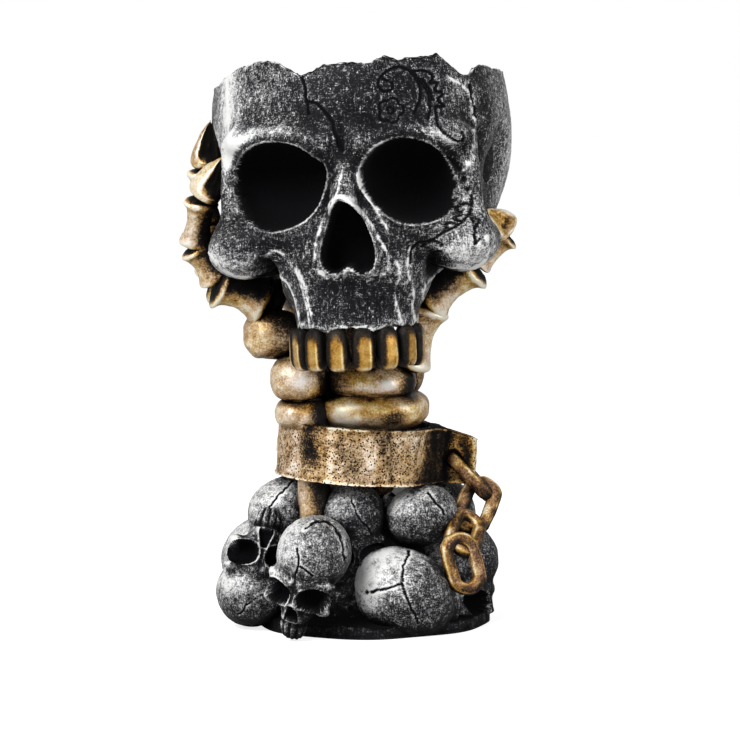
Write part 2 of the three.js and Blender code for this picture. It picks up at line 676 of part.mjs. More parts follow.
// Each small skull: its middle in shares of the heap, its size share, where it faces, where its crown points.
const heapShares = [
  ["front_skull", [-0.28, -0.9, 0.555], 0.93, [-0.36, -0.91, -0.19], [0.17, -0.2, 0.96]],
  ["front_right_skull", [0.43, -0.5, 0.225], 1.18, [0.84, -0.36, -0.42], [0.05, -0.85, 0.5]],
  ["left_inverted_skull", [-0.72, -0.32, 0.26], 0.94, [0.1, -0.97, 0.2], [-0.2, -0.22, -0.95]],
  ["right_skull", [0.8, 0.14, 0.42], 1.05, [0.93, -0.3, -0.2], [0.1, 0, 1]],
  ["rear_right_skull", [0.52, 0.58, 0.38], 1.15, [0.6, 0.8, -0.1], [-0.1, 0.2, 0.97]],
  ["rear_skull", [-0.12, 0.66, 0.36], 1.15, [-0.1, 0.97, -0.25], [0.2, 0.25, 0.95]],
  ["rear_left_skull", [-0.66, 0.36, 0.38], 1.15, [-0.8, 0.5, -0.25], [-0.2, -0.2, 0.95]],
  ["upper_right_skull", [0.48, -0.3, 0.74], 0.82, [-0.84, -0.5, -0.15], [0.5, -0.8, 0.2]],
  ["upper_left_skull", [-0.5, -0.08, 0.74], 0.95, [-0.85, -0.5, -0.1], [-0.1, -0.1, 0.98]],
  ["middle_skull", [0.02, -0.34, 0.74], 0.85, [0.1, -0.97, -0.2], [0, -0.2, 0.97]],
  ["upper_rear_skull", [-0.12, 0.3, 0.8], 1.05, [-0.3, 0.93, -0.2], [-0.1, 0.3, 0.95]],
  ["upper_rear_right_skull", [0.62, 0.26, 0.7], 1.12, [0.8, 0.5, -0.2], [-0.1, 0.1, 0.97]],
];

function smallSkull([x, y, z], sizeShare, facing, crown, grow) {
  const scale = crownHalfWidth * sizeShare;
  const spread = grow / scale;
  const spot = [x * heapHalfWidth, y * heapHalfDepth, z * heapHeight];
  const frame = standing(new THREE.Vector3(...facing).negate(), crown, spot);
  const middle = new THREE.Vector3(...smallCentreShares);
  const field = (p) => smallSkullField(p) - spread;
  const skin = castForm(field, middle, smallReachShare, smallColumns, smallRows, smallCrowdingShare);
  const jawEdge = -smallJawShare - spread - smallReachShare / 2;
  const jaw = new THREE.BoxGeometry(smallReachShare, smallReachShare, smallReachShare).translate(0, 0, jawEdge);
  const hollows = smallHollowShares.map(([spotShares, reachShares]) =>
    pebble(reachShares, hollowSides, hollowRings, 1).translate(...spotShares),
  );
  const sized = (form) => solidOf(form.scale(scale, scale, scale).applyMatrix4(frame));
  const floor = new THREE.BoxGeometry(W * 4, D * 4, overrun).translate(0, 0, gap - grow - overrun / 2);
  return [jaw, ...(grow ? [] : hollows)]
    .reduce((solid, cutter) => solid.subtract(sized(cutter)), sized(skin))
    .subtract(solidOf(floor));
}

for (const [name, middle, sizeShare, facing, crown] of heapShares) {
  place(name, silver, (grow) => smallSkull(middle, sizeShare, facing, crown, grow));
}

export default planter;
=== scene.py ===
"""Looks for a skull planter: a broken-topped skull bowl in a skeleton hand, whose shackled wrist stands in a
heap of small skulls. Lengths in the property groups are metres; the surfaces are worked out in millimetres."""

import itertools
import math
from types import SimpleNamespace

import bpy
import numpy as np
from bpy.props import FloatProperty, IntProperty, PointerProperty
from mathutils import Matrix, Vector


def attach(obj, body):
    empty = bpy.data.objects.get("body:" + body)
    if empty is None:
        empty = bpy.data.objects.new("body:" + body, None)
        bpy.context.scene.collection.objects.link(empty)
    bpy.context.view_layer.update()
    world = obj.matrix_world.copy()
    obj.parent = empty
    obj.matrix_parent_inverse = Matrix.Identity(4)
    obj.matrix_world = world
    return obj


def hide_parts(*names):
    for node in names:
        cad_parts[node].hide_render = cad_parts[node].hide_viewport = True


bl_info = {
    "name": "Skull Planter",
    "version": (1, 0, 0),
    "blender": (4, 5, 0),
    "location": "View3D > Sidebar > Planter",
    "description": "Builds the looks of a skull planter and the stage it is shown on",
    "category": "Add Mesh",
}

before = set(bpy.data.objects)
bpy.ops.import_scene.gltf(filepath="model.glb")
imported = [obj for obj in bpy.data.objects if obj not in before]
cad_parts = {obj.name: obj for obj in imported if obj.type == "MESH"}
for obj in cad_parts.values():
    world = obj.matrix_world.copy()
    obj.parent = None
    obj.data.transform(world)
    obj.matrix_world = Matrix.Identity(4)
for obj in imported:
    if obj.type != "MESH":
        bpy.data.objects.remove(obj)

MM = 0.001
# How many random values stand along each side of the noise's table, which repeats past them.
ATLAS = 32
# Further off than any line, in millimetres.
FAR = 1e3
# How often a ray steps and then halves its last step.
RAY_STEPS, RAY_HALVINGS = 90, 13
UP = np.array([0, 0, 1.0])


def length(name, description, default):
    """A length in metres."""
    return FloatProperty(name=name, description=description, default=default, unit="LENGTH")


def turn(name, description, degrees):
    """An angle, given in degrees and kept in radians."""
    return FloatProperty(name=name, description=description, default=math.radians(degrees), subtype="ANGLE")


def number(name, description, default):
    """A plain number."""
    return FloatProperty(name=name, description=description, default=default, subtype="FACTOR")


def count(name, description, default):
    """A whole number of things or points."""
    return IntProperty(name=name, description=description, default=default, min=3, subtype="UNSIGNED")


class PlanterSkull(bpy.types.PropertyGroup):
    """Sizes of the skull bowl and its teeth."""

    half_width: length("Half width", "Widest reach of the cranium along X", 0.0465)
    half_depth: length("Half depth", "Widest reach of the cranium along Y", 0.050)
    height: length("Height", "From the teeth to the highest point of the rim", 0.094)
    foot: length("Foot", "Level of the lower end of the teeth", 0.0825)
    shift: length("Shift", "How far the skull stands to the right", 0.004)
    yaw: turn("Yaw", "Turn about the vertical", -7)
    roll: turn("Roll", "Lean to the side", -2.5)
    wall: length("Wall", "Thickness of the bowl", 0.0045)
    rim_break: length("Rim break", "Depth of the deepest bite out of the rim", 0.012)
    front_limit: length("Front limit", "Place along Y past which the face is pressed flat", -0.053)
    bowl_floor: length("Bowl floor", "Level of the floor of the hollow", 0.112)
    socket_depth: length("Socket depth", "Half length of the bore of an eye socket", 0.018)
    tooth_width: length("Tooth width", "Spacing of the teeth", 0.0073)
    tooth_height: length("Tooth height", "Length of a tooth", 0.013)
    tooth_depth: length("Tooth depth", "Thickness of a tooth", 0.0054)
    tooth_count: count("Teeth", "Teeth round the arch", 8)
    line_depth: length("Line depth", "Depth of the cracks and of the engraved scrolls", 0.00055)
    columns: count("Columns", "Points round the skull", 400)
    rows: count("Rows", "Points up the outside of the skull", 160)


class PlanterHand(bpy.types.PropertyGroup):
    """Sizes of the bones of the hand and the forearm."""

    knuckle_radius: length("Knuckle radius", "Radius of the fingers' knuckles", 0.0048)
    claw_radius: length("Claw radius", "Radius of a claw near its root", 0.0058)
    thumb_radius: length("Thumb radius", "Radius of the palm's end of the thumb", 0.0072)
    metacarpal_radius: length("Metacarpal radius", "Radius of the bones of the palm", 0.0086)
    wrist_half_width: length("Wrist half width", "Half the width of the wrist", 0.020)
    wrist_level: length("Wrist level", "Level of the top of the forearm", 0.062)
    palm_height: length("Palm height", "Height of the wrist bones together", 0.036)
    shaft_radius: length("Shaft radius", "Radius of the forearm's shafts", 0.0052)
    shaft_foot: length("Shaft foot", "Level of the forearm's lower end", 0.0043)


class PlanterShackle(bpy.types.PropertyGroup):
    """Sizes of the band and of the chain's links."""

    radius: length("Radius", "Outer radius of the band", 0.0252)
    shift: length("Shift", "How far the band stands to the right", 0.0017)
    wall: length("Wall", "Thickness of the band", 0.003)
    height: length("Height", "Height of the band", 0.0175)
    level: length("Level", "Level of the middle of the band", 0.0546)
    tilt: turn("Tilt", "How far the band leans down to the right", 3.5)
    bevel: turn("Bevel", "Slope of the top of the lug", 14)
    lug_reach: length("Lug reach", "End of the lug along X", 0.0396)
    lug_thickness: length("Lug thickness", "Thickness of the lug", 0.0044)
    hole_reach: length("Hole reach", "Place of the lug's hole along X", 0.0316)
    hole_radius: length("Hole radius", "Radius of the lug's hole", 0.0026)
    wire: length("Wire", "Radius of a link's wire", 0.0022)
    link_length: length("Link length", "Length of a link", 0.020)
    link_width: length("Link width", "Width of a link", 0.013)


class PlanterHeap(bpy.types.PropertyGroup):
    """Sizes of the heap of small skulls and of the plinth."""

    half_width: length("Half width", "Half the width of the heap", 0.042)
    half_depth: length("Half depth", "Half the depth of the heap", 0.038)
    height: length("Height", "Height of the heap", 0.047)
    crown: length("Crown", "Half width of a small skull of size one", 0.012)
    slab_height: length("Slab height", "Height of the plinth's slab", 0.004)
    slab_half_width: length("Slab half width", "Half the width of the slab", 0.036)
    slab_half_depth: length("Slab half depth", "Half the depth of the slab", 0.033)
    mound_half_width: length("Mound half width", "Half the width of the mound", 0.027)
    mound_height: length("Mound height", "Height of the mound", 0.043)
    clearance: length("Clearance", "Least level of the small skulls", 0.0003)


class PlanterStage(bpy.types.PropertyGroup):
    """The camera's place and the strength of the lights."""

    lens: FloatProperty(name="Lens", description="Focal length", default=156.1, subtype="DISTANCE_CAMERA")
    distance: length("Distance", "From the camera to the point it looks at", 1.0)
    elevation: turn("Elevation", "Height of the camera above the horizon", 5)
    aim_x: length("Aim X", "Point that the camera looks at", 0.0059)
    aim_z: length("Aim Z", "Point that the camera looks at", 0.0785)
    key: FloatProperty(name="Key", description="Power of the lamp on the left", default=11.0, unit="POWER")
    fill: FloatProperty(name="Fill", description="Power of the lamp on the right", default=3.0, unit="POWER")
    world: number("World", "Strength of the surrounding light", 0.5)


GROUPS = {
    "planter_skull": PlanterSkull,
    "planter_hand": PlanterHand,
    "planter_shackle": PlanterShackle,
    "planter_heap": PlanterHeap,
    "planter_stage": PlanterStage,
}


def sizes(key):
    """The group's lengths in millimetres, and its other numbers as they are, under their own names."""
    group = getattr(bpy.context.scene, key)
    found = {}
    for name, prop in group.bl_rna.properties.items():
        if prop.type in {"FLOAT", "INT"}:
            value = getattr(group, name)
            found[name] = value / MM if prop.unit == "LENGTH" else value
    return SimpleNamespace(**found)


# Tables in shares of the skull's half width, half depth and half height: rods by both ends and radii, balls by
# middle and reach, and how softly each joins the rest.
FACE_RODS = [
    [(0.11, -0.92, 0.46), (0.7, -0.69, 0.47), (0.095, 0.085), 0.1],
    [(0.76, -0.6, 0.42), (0.78, -0.6, -0.06), (0.078, 0.085), 0.08],
    [(0.87, -0.46, -0.2), (0.9, -0.04, -0.14), (0.1, 0.08), 0.08],
    [(0, -0.9, 0.32), (0, -1.0, 0.06), (0.075, 0.09), 0.08],
]
FACE_BALLS = [
    [(0, -0.52, -0.2), (0.56, 0.42, 0.62), 0.14],
    [(0.7, -0.62, -0.22), (0.25, 0.22, 0.2), 0.1],
    [(0.47, -0.6, -0.13), (0.24, 0.22, 0.12), 0.1],
    [(0, -0.58, -0.72), (0.4, 0.37, 0.52), 0.08],
]
FACE_CARVINGS = [
    [(1.185, -0.25, 0.1), (0.36, 0.36, 0.52), 0.08],
    [(0.55, -0.7, -0.42), (0.07, 0.3, 0.15), 0.03],
]
CRANIUM = SimpleNamespace(setback=0.05, level=0.48, top=1.28, bottom=1.13, hollow_top=1.6)

# Outlines of the openings seen from the front, in millimetres in the skull's own frame, and the lip that stands
# round each: its height and its width.
ORBIT_LEFT = [(-33.5, 11.7), (-30.8, 17.6), (-26.7, 20.4), (-21.3, 21.3), (-13.5, 19.8), (-8.3, 16.4), (-5.4, 13.9),
              (-5.4, 9.8), (-8.0, 3.0), (-13.2, -2.0), (-22.2, -4.5), (-28.7, -1.9), (-32.4, 3.3)]
ORBIT_RIGHT = [(5.6, 12.2), (8.8, 17.4), (13.4, 20.2), (18.5, 21.0), (25.5, 18.8), (29.4, 14.2), (31.5, 8.0),
               (31.0, 2.3), (28.2, -1.9), (21.8, -3.8), (15.4, -2.7), (10.5, 1.1), (6.8, 5.7)]
NOSE = [(-0.7, 3.3), (2.3, 2.3), (4.5, -0.8), (6.7, -5.9), (8.2, -11.8), (7.4, -16.5), (3.9, -17.7), (0.6, -15.7),
        (-3.6, -17.5), (-6.5, -16.0), (-7.4, -12.1), (-6.1, -7.1), (-4.1, -1.9), (-2.5, 1.6)]
HOLE_LIPS = [(0.7, 0.8), (0.7, 0.8), (1.1, 1.0)]

# The broken rim: bearing from the face in degrees, share of the deepest break.
RIM = [(-180, 0.95), (-165, 1), (-150, 0.86), (-135, 0.94), (-120, 0.78), (-100, 0.82), (-82, 0.7), (-68, 0.55),
       (-60, 0.4), (-52, 0.22), (-42, 0.08), (-34, 0), (-26, 0.08), (-20, 0.22), (-15, 0.42), (-10, 0.3), (-4, 0.17),
       (4, 0.17), (10, 0.18), (16, 0.03), (22, 0.12), (28, 0.1), (34, 0.06), (39, 0), (43, 0.22), (49, 0.54),
       (53, 0.6), (58, 0.42), (65, 0.33), (76, 0.44), (97, 0.52), (112, 0.7), (126, 0.62), (142, 0.88), (160, 1),
       (180, 0.95)]

# Cracks and scrolls cut into the front of the skull, seen from the front, in millimetres.
CRACKS = [
    [(-12.1, 41.9), (-10.3, 37.7), (-10, 33.6), (-7.3, 32.9), (-5.2, 30.5), (-2.3, 27.4), (-1.3, 24.8), (0.2, 18.5)],
    [(-10, 33.6), (-9.5, 29.5)],
    [(36.8, 36), (37.5, 32.1), (38.4, 26.7)],
]
SCROLLS = [
    [(15.1, 37.8), (12.5, 39.7), (16.8, 42.4), (20.7, 40.8), (23.2, 36.9), (23.4, 32.7), (21.6, 28.7)],
    [(12.3, 39.9), (11.4, 37.2), (13.1, 35.2), (15.4, 35.9), (15.6, 37.9)],
    [(22.1, 40.1), (25.1, 35.3), (26.1, 30.9), (25.4, 26.8)],
    [(20.7, 40.8), (24.6, 40.9), (27.1, 39.1), (26.3, 37.2), (28.2, 37.2), (27.6, 35.1), (29.7, 33.9), (28.3, 31.9),
     (29.9, 30.1), (27.5, 30.2)],
    [(27.5, 30.2), (27.9, 26.1), (29.9, 22.4), (33.6, 19.2), (35.5, 20.3), (35.1, 22.1)],
    [(24.1, 38.6), (25.9, 35.6), (26.9, 32.1)],
    [(30.4, 15), (32.6, 12.5), (34.8, 6.5), (36.4, 2.6), (36.3, -1), (32.8, -4.7), (28.9, -6.6), (23.9, -10)],
    [(36.3, 0.5), (34, 1.2), (32.1, 0.1), (33.9, -1.5), (31.4, -2.6), (33.5, -3.5)],
    [(33, -4.6), (30.7, -3.9), (28.8, -4.8), (30.3, -6)],
    [(37.9, -2.7), (38.8, -4.2), (37.8, -5.7)],
    [(35.9, -1.1), (37.8, -5.7), (37.9, -10.7), (39.4, -9.3)],
    [(21.9, -11.2), (24.1, -9.5), (27, -10.2), (27.8, -12.4), (25.7, -14), (24.2, -12.5)],
    [(18.4, -15.6), (18.9, -12), (21.1, -10), (24, -10.1)],
]
FLOWER = SimpleNamespace(x=14.9, z=29.6, radius=3.1, petal=0.28, eye=0.9)
SIDE_CRACK = [(36.9, -25, 9.4), (38.9, -21.7, 9.3), (41.8, -16.2, 10.8), (44.8, -7.5, 13.8), (46, -2.5, 14.9)]

# Raised edges that the paint was rubbed off, seen from the front.
RIDGES = [
    [(-26.2, -16.7), (-25.4, -13.5), (-23.7, -11.2), (-21.5, -10.9), (-18.7, -13.5), (-16.0, -16.7), (-14.4, -22.7),
     (-13.1, -29.1), (-12.4, -34.7)],
    [(-25.5, -16.9), (-22.5, -18.6), (-19.4, -20.9), (-17.7, -25.6), (-16.7, -30.7), (-15.6, -34.2)],
    [(-16.1, -13.6), (-14.4, -18.7), (-13.1, -25.0), (-11.5, -31.3), (-10.1, -33.2)],
    [(18.4, -11.9), (17.5, -17.4), (18.5, -24.3), (17.9, -29.9), (18.8, -34.9)],
    [(20.8, -30.7), (20.3, -27.6), (21.7, -23.3), (24.7, -19.7), (27.9, -18.2), (30.4, -17.7)],
    [(14.4, -14.7), (15.1, -19.7), (13.4, -24.0), (14.4, -30.2), (15.4, -35.9)],
    [(-43.5, -10.7), (-40.7, -13.9), (-37.7, -16.9), (-33.9, -18.6), (-30.0, -18.1), (-27.1, -16.6)],
    [(41.3, -8.8), (41.4, -13.2), (39.7, -16.9), (36.5, -18.7), (32.7, -18.2), (29.6, -18.1)],
    [(-9.7, -13.1), (-9.1, -8.1), (-7.0, -2.6), (-4.6, 2.2), (-1.7, 4.9), (0.8, 5.1), (4.4, 1.9), (7.4, -2.6),
     (10.2, -8.3), (12.2, -13.3), (11.7, -17.6), (9.8, -19.1)],
    [(-9.2, -16.3), (-6.1, -19.2), (-3.0, -19.0), (0.9, -17.0), (3.3, -18.0), (6.4, -19.4), (9.5, -18.9)],
    [(0.4, 12.7), (-0.8, 7.7), (-2.2, 4.0), (-4.2, 0.4)],
    [(4.9, 11.1), (6.5, 6.1), (8.8, 1.1), (11.7, -4.0), (12.2, -5.2)],
    [(-37.5, 40.7), (-37.2, 33.8), (-36.6, 26.2), (-36.6, 19.9), (-34.9, 14.8)],
    [(31.5, 38.3), (34.6, 36.3), (37.0, 33.1), (37.8, 28.7), (38.1, 22.4), (37.2, 14.3), (34.2, 10.7)],
    [(-12.5, -34.6), (-10.9, -33.3), (-8.4, -33.4), (-5.9, -35.5)],
    [(-5.8, -35.4), (-3.8, -33.7), (-1.3, -33.9), (0.7, -35.9)],
    [(0.7, -35.9), (2.7, -34.0), (5.9, -34.2), (7.8, -36.3)],
    [(7.7, -36.4), (9.8, -34.5), (12.6, -34.6), (14.5, -36.5)],
    [(14.3, -36.6), (16.7, -34.8), (18.9, -34.8), (20.1, -36.8)],
    [(-16.8, -33.2), (-14.9, -32.7), (-13.5, -34.1), (-13.1, -34.9)],
]

# Patches of paler or darker tone on the front of the skull, partly rubbed paint and partly painted highlight and
# painted shade of a front lit from the upper left: how much, the middle along X and Z in millimetres, and how far
# each reaches along X and Z. The cheeks' show on the sides too, the brows' stand round the orbits and the gums' is
# broken by noise.
FACE_SHADES = [
    (0.24, -24, 36, 12, 10), (0.2, -10, 43, 9, 4), (0.2, 3, 8, 3, 9), (-0.2, 0, 15, 8, 5), (-0.1, 2, 37, 16, 12),
    (-0.1, 12, 26, 8, 5), (-0.12, -26, -9, 9, 4), (-0.12, 0, -27, 13, 7), (-0.1, 0, -25, 22, 8),
    (0.14, -15, -22, 5, 11), (0.14, 17, -22, 5, 11), (0.07, 0, -10, 40, 12),
]
CHEEK_SHADES = [(0.26, -38, -13, 9, 5), (0.34, 36, -12, 9, 6)]
GUMS = (0.34, 0, -27, 13, 7)
BROWS = [(0.42, -32, 23, 14, 9), (0.4, 32, 22, 9, 9)]
# The tooth with a notch in its edge, counted from 0 at the viewer's left.
BITTEN_TOOTH = 6

# The wrist bones: middle and reach in shares of the wrist's half width and the palm's height. The forearm's have
# the place of their shaft in front.
CARPALS = {
    "capitate": [(0.1, 0.3, 0.75), (0.62, 0.62, 0.29)],
    "lunate": [(0.32, -0.42, 0.4), (0.7, 0.66, 0.18)],
    "triquetrum": [(-0.78, -0.4, 0.42), (0.47, 0.62, 0.215)],
    "hamate": [(-1.22, -0.12, 0.79), (0.47, 0.46, 0.23)],
    "trapezoid": [(0.75, 0.52, 0.5), (0.42, 0.46, 0.3)],
    "pisiform": [(-0.62, 0.5, 0.45), (0.46, 0.46, 0.28)],
}
FOREARM = {
    "ulna": [(-0.56, -0.62), (-0.8, -0.42, 0.13), (0.38, 0.54, 0.14)],
    "radius": [(0.5, 0.2), (0.34, -0.16, 0.16), (0.9, 0.94, 0.2)],
}
# Patches on the front of the wrist in millimetres: along X, level, and how far each reaches. The stains hold
# painted shade as well, such as the dark side of the forearm's shaft, and the cream holds a painted highlight on its
# other side.
WRIST_STAINS_AND_SHADE = [(-5.3, 76, 3.6, 6), (-9.2, 67.5, 2.6, 5), (13.0, 66.4, 3.6, 2.2), (18.5, 76, 2.0, 5),
                (4, 90, 16, 7), (-18, 96, 6, 8), (-9, 86, 3, 8), (-9.2, 48, 2.8, 12)]
WRIST_GOLD = [(3, 78, 6, 1.8), (16.5, 75, 2.6, 3), (-10, 73.5, 4, 3), (-13, 69, 4, 1.8), (6, 69.5, 14, 3),
              (19, 68, 3, 5), (-16, 86, 3, 3)]
WRIST_CREAM = [(4, 64.5, 10, 1.8), (9, 75.5, 6, 2), (8, 72.4, 9, 0.6), (-14, 77, 4, 4), (-20, 90, 3, 4),
               (-12, 65, 3, 2), (-14.6, 50, 2.4, 9)]
# Painted light: surfaces facing this way are painted palest and those facing away darker, as if lit from there.
LIT_WRIST, LIT_CHAIN, LIT_HEAP = (-0.45, -0.5, 0.25), (-0.5, -0.35, 0.6), (-0.6, -0.35, 0.6)

# The bones of the digits: profiles as shares of the length and of the radius, and the joints of each digit in
# shares of the skull's half width and half depth, and of its height from its foot.
KNUCKLED = [(0, 0), (0.01, 0.72), (0.1, 1), (0.28, 0.8), (0.52, 0.7), (0.76, 0.82), (0.9, 1.04), (0.99, 0.76),
            (1, 0)]
CLAW = [(0, 0), (0.01, 0.72), (0.12, 1.06), (0.36, 0.98), (0.64, 0.7), (0.86, 0.32), (1, 0)]
DIGITS = {
    "index": [(-0.56, -0.1, 0.19), (-0.88, -0.16, 0.262), (-1.02, -0.24, 0.38), (-0.97, -0.38, 0.536),
              (-0.81, -0.48, 0.68)],
    "middle": [(-0.45, 0.14, 0.17), (-0.93, 0.16, 0.27), (-0.98, 0.06, 0.45), (-0.965, -0.03, 0.625),
               (-0.925, -0.09, 0.79)],
    "ring": [(-0.25, 0.36, 0.15), (-0.52, 0.7, 0.24), (-0.62, 0.86, 0.39), (-0.58, 0.82, 0.56), (-0.55, 0.79, 0.71)],
    "little": [(0.05, 0.4, 0.14), (0.11, 0.84, 0.2), (0.15, 1.03, 0.35), (0.17, 1.02, 0.5), (0.2, 1.02, 0.63)],
    "thumb": [(0.35, -0.18, -0.02), (0.49, -0.22, 0.195), (0.81, -0.28, 0.325), (1.02, -0.31, 0.425),
              (0.88, -0.4, 0.505)],
}
BONES = ["metacarpal", "proximal_phalanx", "middle_phalanx", "distal_phalanx"]
THUMB_BONES = ["scaphoid", "thumb_metacarpal", "thumb_proximal_phalanx", "thumb_distal_phalanx"]
# Thickness of a bone from back to front as a share of its width.
BONE_FLATNESS, PALM_FLATNESS, CLAW_FLATNESS = 1.15, 0.95, 0.85
# Where the hollow of each claw looks and how much darker the hollow is, and how much painted shadow darkens the
# whole claw.
NAIL_VIEWS = {"index": (0.5, -0.86, 0), "middle": (0.3, -0.95, 0), "thumb": (0.1, -0.8, 0.6)}
NAIL_DARKS = {"index": 0.7, "middle": 0.5, "thumb": 0.1}
CLAW_SHADOWS = {"middle": 0.15}
# How much painted shade darkens the turned-away side of some bones.
GLOOM = {"scaphoid": 0.3, "thumb_metacarpal": 0.5, "thumb_proximal_phalanx": 0.4, "index_metacarpal": 0.3,
         "middle_metacarpal": 0.4, "index_proximal_phalanx": 0.12}

# Dark streaks down the band: place along X, reach and depth. The lug's hole stands lower than the band's middle by
# a share of the band's height.
BAND_STREAKS = [(-12.5, 3.2, 0.3), (-4.5, 2.0, 0.14), (16.0, 4.0, 0.16), (23.0, 2.4, 0.2)]
LUG_HOLE_DROP = 0.06

# Each link: its middle from the lug's hole in link lengths, its long way and its facing.
CHAIN = [
    [(0.28, 0, -0.29), (0.69, 0, -0.72), (0.72, 0, 0.69)],
    [(0.375, -0.18, -0.71), (-0.36, -0.45, -0.82), (0.1, -0.88, 0.44)],
    [(0.17, -0.665, -1.08), (-0.23, -0.83, -0.52), (0.5, -0.55, 0.66)],
    [(0.135, -1.04, -1.5), (0.27, -0.1, -0.96), (0.3, -0.94, 0.06)],
]

# A small skull in shares of its half width.
SMALL_CROWN = [(0, 0.2, 0), (1, 1.22, 1.02)]
SMALL_RODS = [
    [(0.14, -0.84, -0.56), (0.78, -0.6, -0.5), (0.16, 0.14), 0.2],
    [(0.87, -0.45, -1.1), (0.9, -0.42, -0.55), (0.12, 0.12), 0.1],
    [(0, -0.84, -0.7), (0, -0.98, -1.08), (0.1, 0.13), 0.1],
]
SMALL_BALLS = [
    [(0, -0.46, -1.0), (0.62, 0.48, 0.72), 0.24],
    [(0.69, -0.52, -1.2), (0.3, 0.32, 0.2), 0.16],
    [(0, -0.52, -1.76), (0.4, 0.4, 0.64), 0.16],
]
# The heap: middle in shares of its half width, half depth and height, size, and where face and crown point.
HEAP = {
    "front_skull": [(-0.28, -0.9, 0.555), 0.93, (-0.36, -0.91, -0.19), (0.17, -0.2, 0.96)],
    "front_right_skull": [(0.43, -0.5, 0.225), 1.18, (0.84, -0.36, -0.42), (0.05, -0.85, 0.5)],
    "left_inverted_skull": [(-0.72, -0.32, 0.26), 0.94, (0.1, -0.97, 0.2), (-0.2, -0.22, -0.95)],
    "right_skull": [(0.8, 0.14, 0.42), 1.05, (0.93, -0.3, -0.2), (0.1, 0, 1)],
    "rear_right_skull": [(0.52, 0.58, 0.38), 1.15, (0.6, 0.8, -0.1), (-0.1, 0.2, 0.97)],
    "rear_skull": [(-0.12, 0.66, 0.36), 1.15, (-0.1, 0.97, -0.25), (0.2, 0.25, 0.95)],
    "rear_left_skull": [(-0.66, 0.36, 0.38), 1.15, (-0.8, 0.5, -0.25), (-0.2, -0.2, 0.95)],
    "upper_right_skull": [(0.48, -0.3, 0.74), 0.82, (-0.84, -0.5, -0.15), (0.5, -0.8, 0.2)],
    "upper_left_skull": [(-0.5, -0.08, 0.74), 0.95, (-0.85, -0.5, -0.1), (-0.1, -0.1, 0.98)],
    "middle_skull": [(0.02, -0.34, 0.74), 0.85, (0.1, -0.97, -0.2), (0, -0.2, 0.97)],
    "upper_rear_skull": [(-0.12, 0.3, 0.8), 1.05, (-0.3, 0.93, -0.2), (-0.1, 0.3, 0.95)],
    "upper_rear_right_skull": [(0.62, 0.26, 0.7), 1.12, (0.8, 0.5, -0.2), (-0.1, 0.1, 0.97)],
}
# Cracks of the skulls seen from the front, in millimetres along X and Z. The others' wander at random.
HEAP_CRACKS = {
    "front_skull": [[(-16.0, 29.4), (-15.5, 25.8), (-16.7, 20.7)], [(-15.2, 24.3), (-13.4, 23.2), (-11.3, 21.3)],
                    [(-13.6, 35.2), (-9.5, 36.9), (-6.1, 36.2), (-3.4, 33.3), (-2.2, 30.3), (-1.6, 25.3)]],
    "front_right_skull": [[(18.9, 27.3), (16.2, 22.4), (15.6, 17.2), (17.4, 12.0), (20.7, 5.0)],
                          [(15.6, 17.2), (11.3, 15.7), (7.4, 14.5), (3.5, 13.6)]],
    "upper_right_skull": [[(23.6, 43.2), (26.0, 40.2), (27.5, 38.6), (28.8, 36.5)]],
    "upper_left_skull": [[(-18.0, 45.7), (-21.7, 42.0), (-24.1, 39.5), (-27.8, 34.3)]],
}
# Painted shadow that darkens some skulls, and how much darker the teeth of one are.
HEAP_SHADOWS = {"middle_skull": -0.14, "upper_right_skull": -0.02, "right_skull": -0.06}
JAW_DARKS = {"left_inverted_skull": 0.34}
# The mound under the heap: share of its half width, and of its height.
MOUND = [(1, 0), (1, 0.3), (0.88, 0.5), (0.66, 0.7), (0.42, 0.88), (0.22, 1)]

# The stage: reach of the floor, glow and coat of its white, size of the lamps and where they aim.
FLOOR_REACH, FLOOR_GLOW, FLOOR_COAT = 4.0, 0.78, (0.5, 0.5, 0.5, 1)
LAMP_SIZE, LAMP_AIM = 0.5, (0, 0, 0.09)


# Distance fields over whole arrays of points: below zero inside a form, above zero outside it.
def ball(middle, reach):
    """An ellipsoid: with k the point's distance in reaches, k(k-1) over the gradient's length."""
    middle, reach = np.array(middle, float), np.array(reach, float)

    def field(p):
        q = (p - middle) / reach
        k = np.linalg.norm(q, axis=-1)
        return k * (k - 1) / np.maximum(np.linalg.norm(q / reach, axis=-1), 1e-9)

    return field


def rod(start, end, radii):
    """Distance to a line between two points, less a radius that changes evenly along it."""
    start, along = np.array(start, float), np.array(end, float) - np.array(start, float)

    def field(p):
        q = p - start
        t = np.clip(q @ along / (along @ along), 0, 1)
        return np.linalg.norm(q - t[..., None] * along, axis=-1) - (radii[0] + t * (radii[1] - radii[0]))

    return field


def mirrored(field):
    """The field's form and its mirror image on the other side of X = 0."""
    return lambda p: field(np.concatenate([np.abs(p[..., :1]), p[..., 1:]], axis=-1))


def blend(a, b, soft):
    """The lesser of two distances, less a quarter of the softness where they are equal."""
    h = np.maximum(soft - np.abs(a - b), 0) / soft
    return np.minimum(a, b) - h * h * soft / 4


def carve(a, b, soft):
    """The first form less the second, with a soft edge."""
    return -blend(-a, b, soft)


def forms(rods, balls, scale):
    """Both tables as fields on both sides, each with its softness."""
    scale = np.array(scale, float)
    made = [(rod(a * scale, b * scale, np.array(radii) * scale[0]), soft) for a, b, radii, soft in rods]
    made += [(ball(middle * scale, reach * scale), soft) for middle, reach, soft in balls]
    return [(mirrored(field), soft * scale[0]) for field, soft in made]


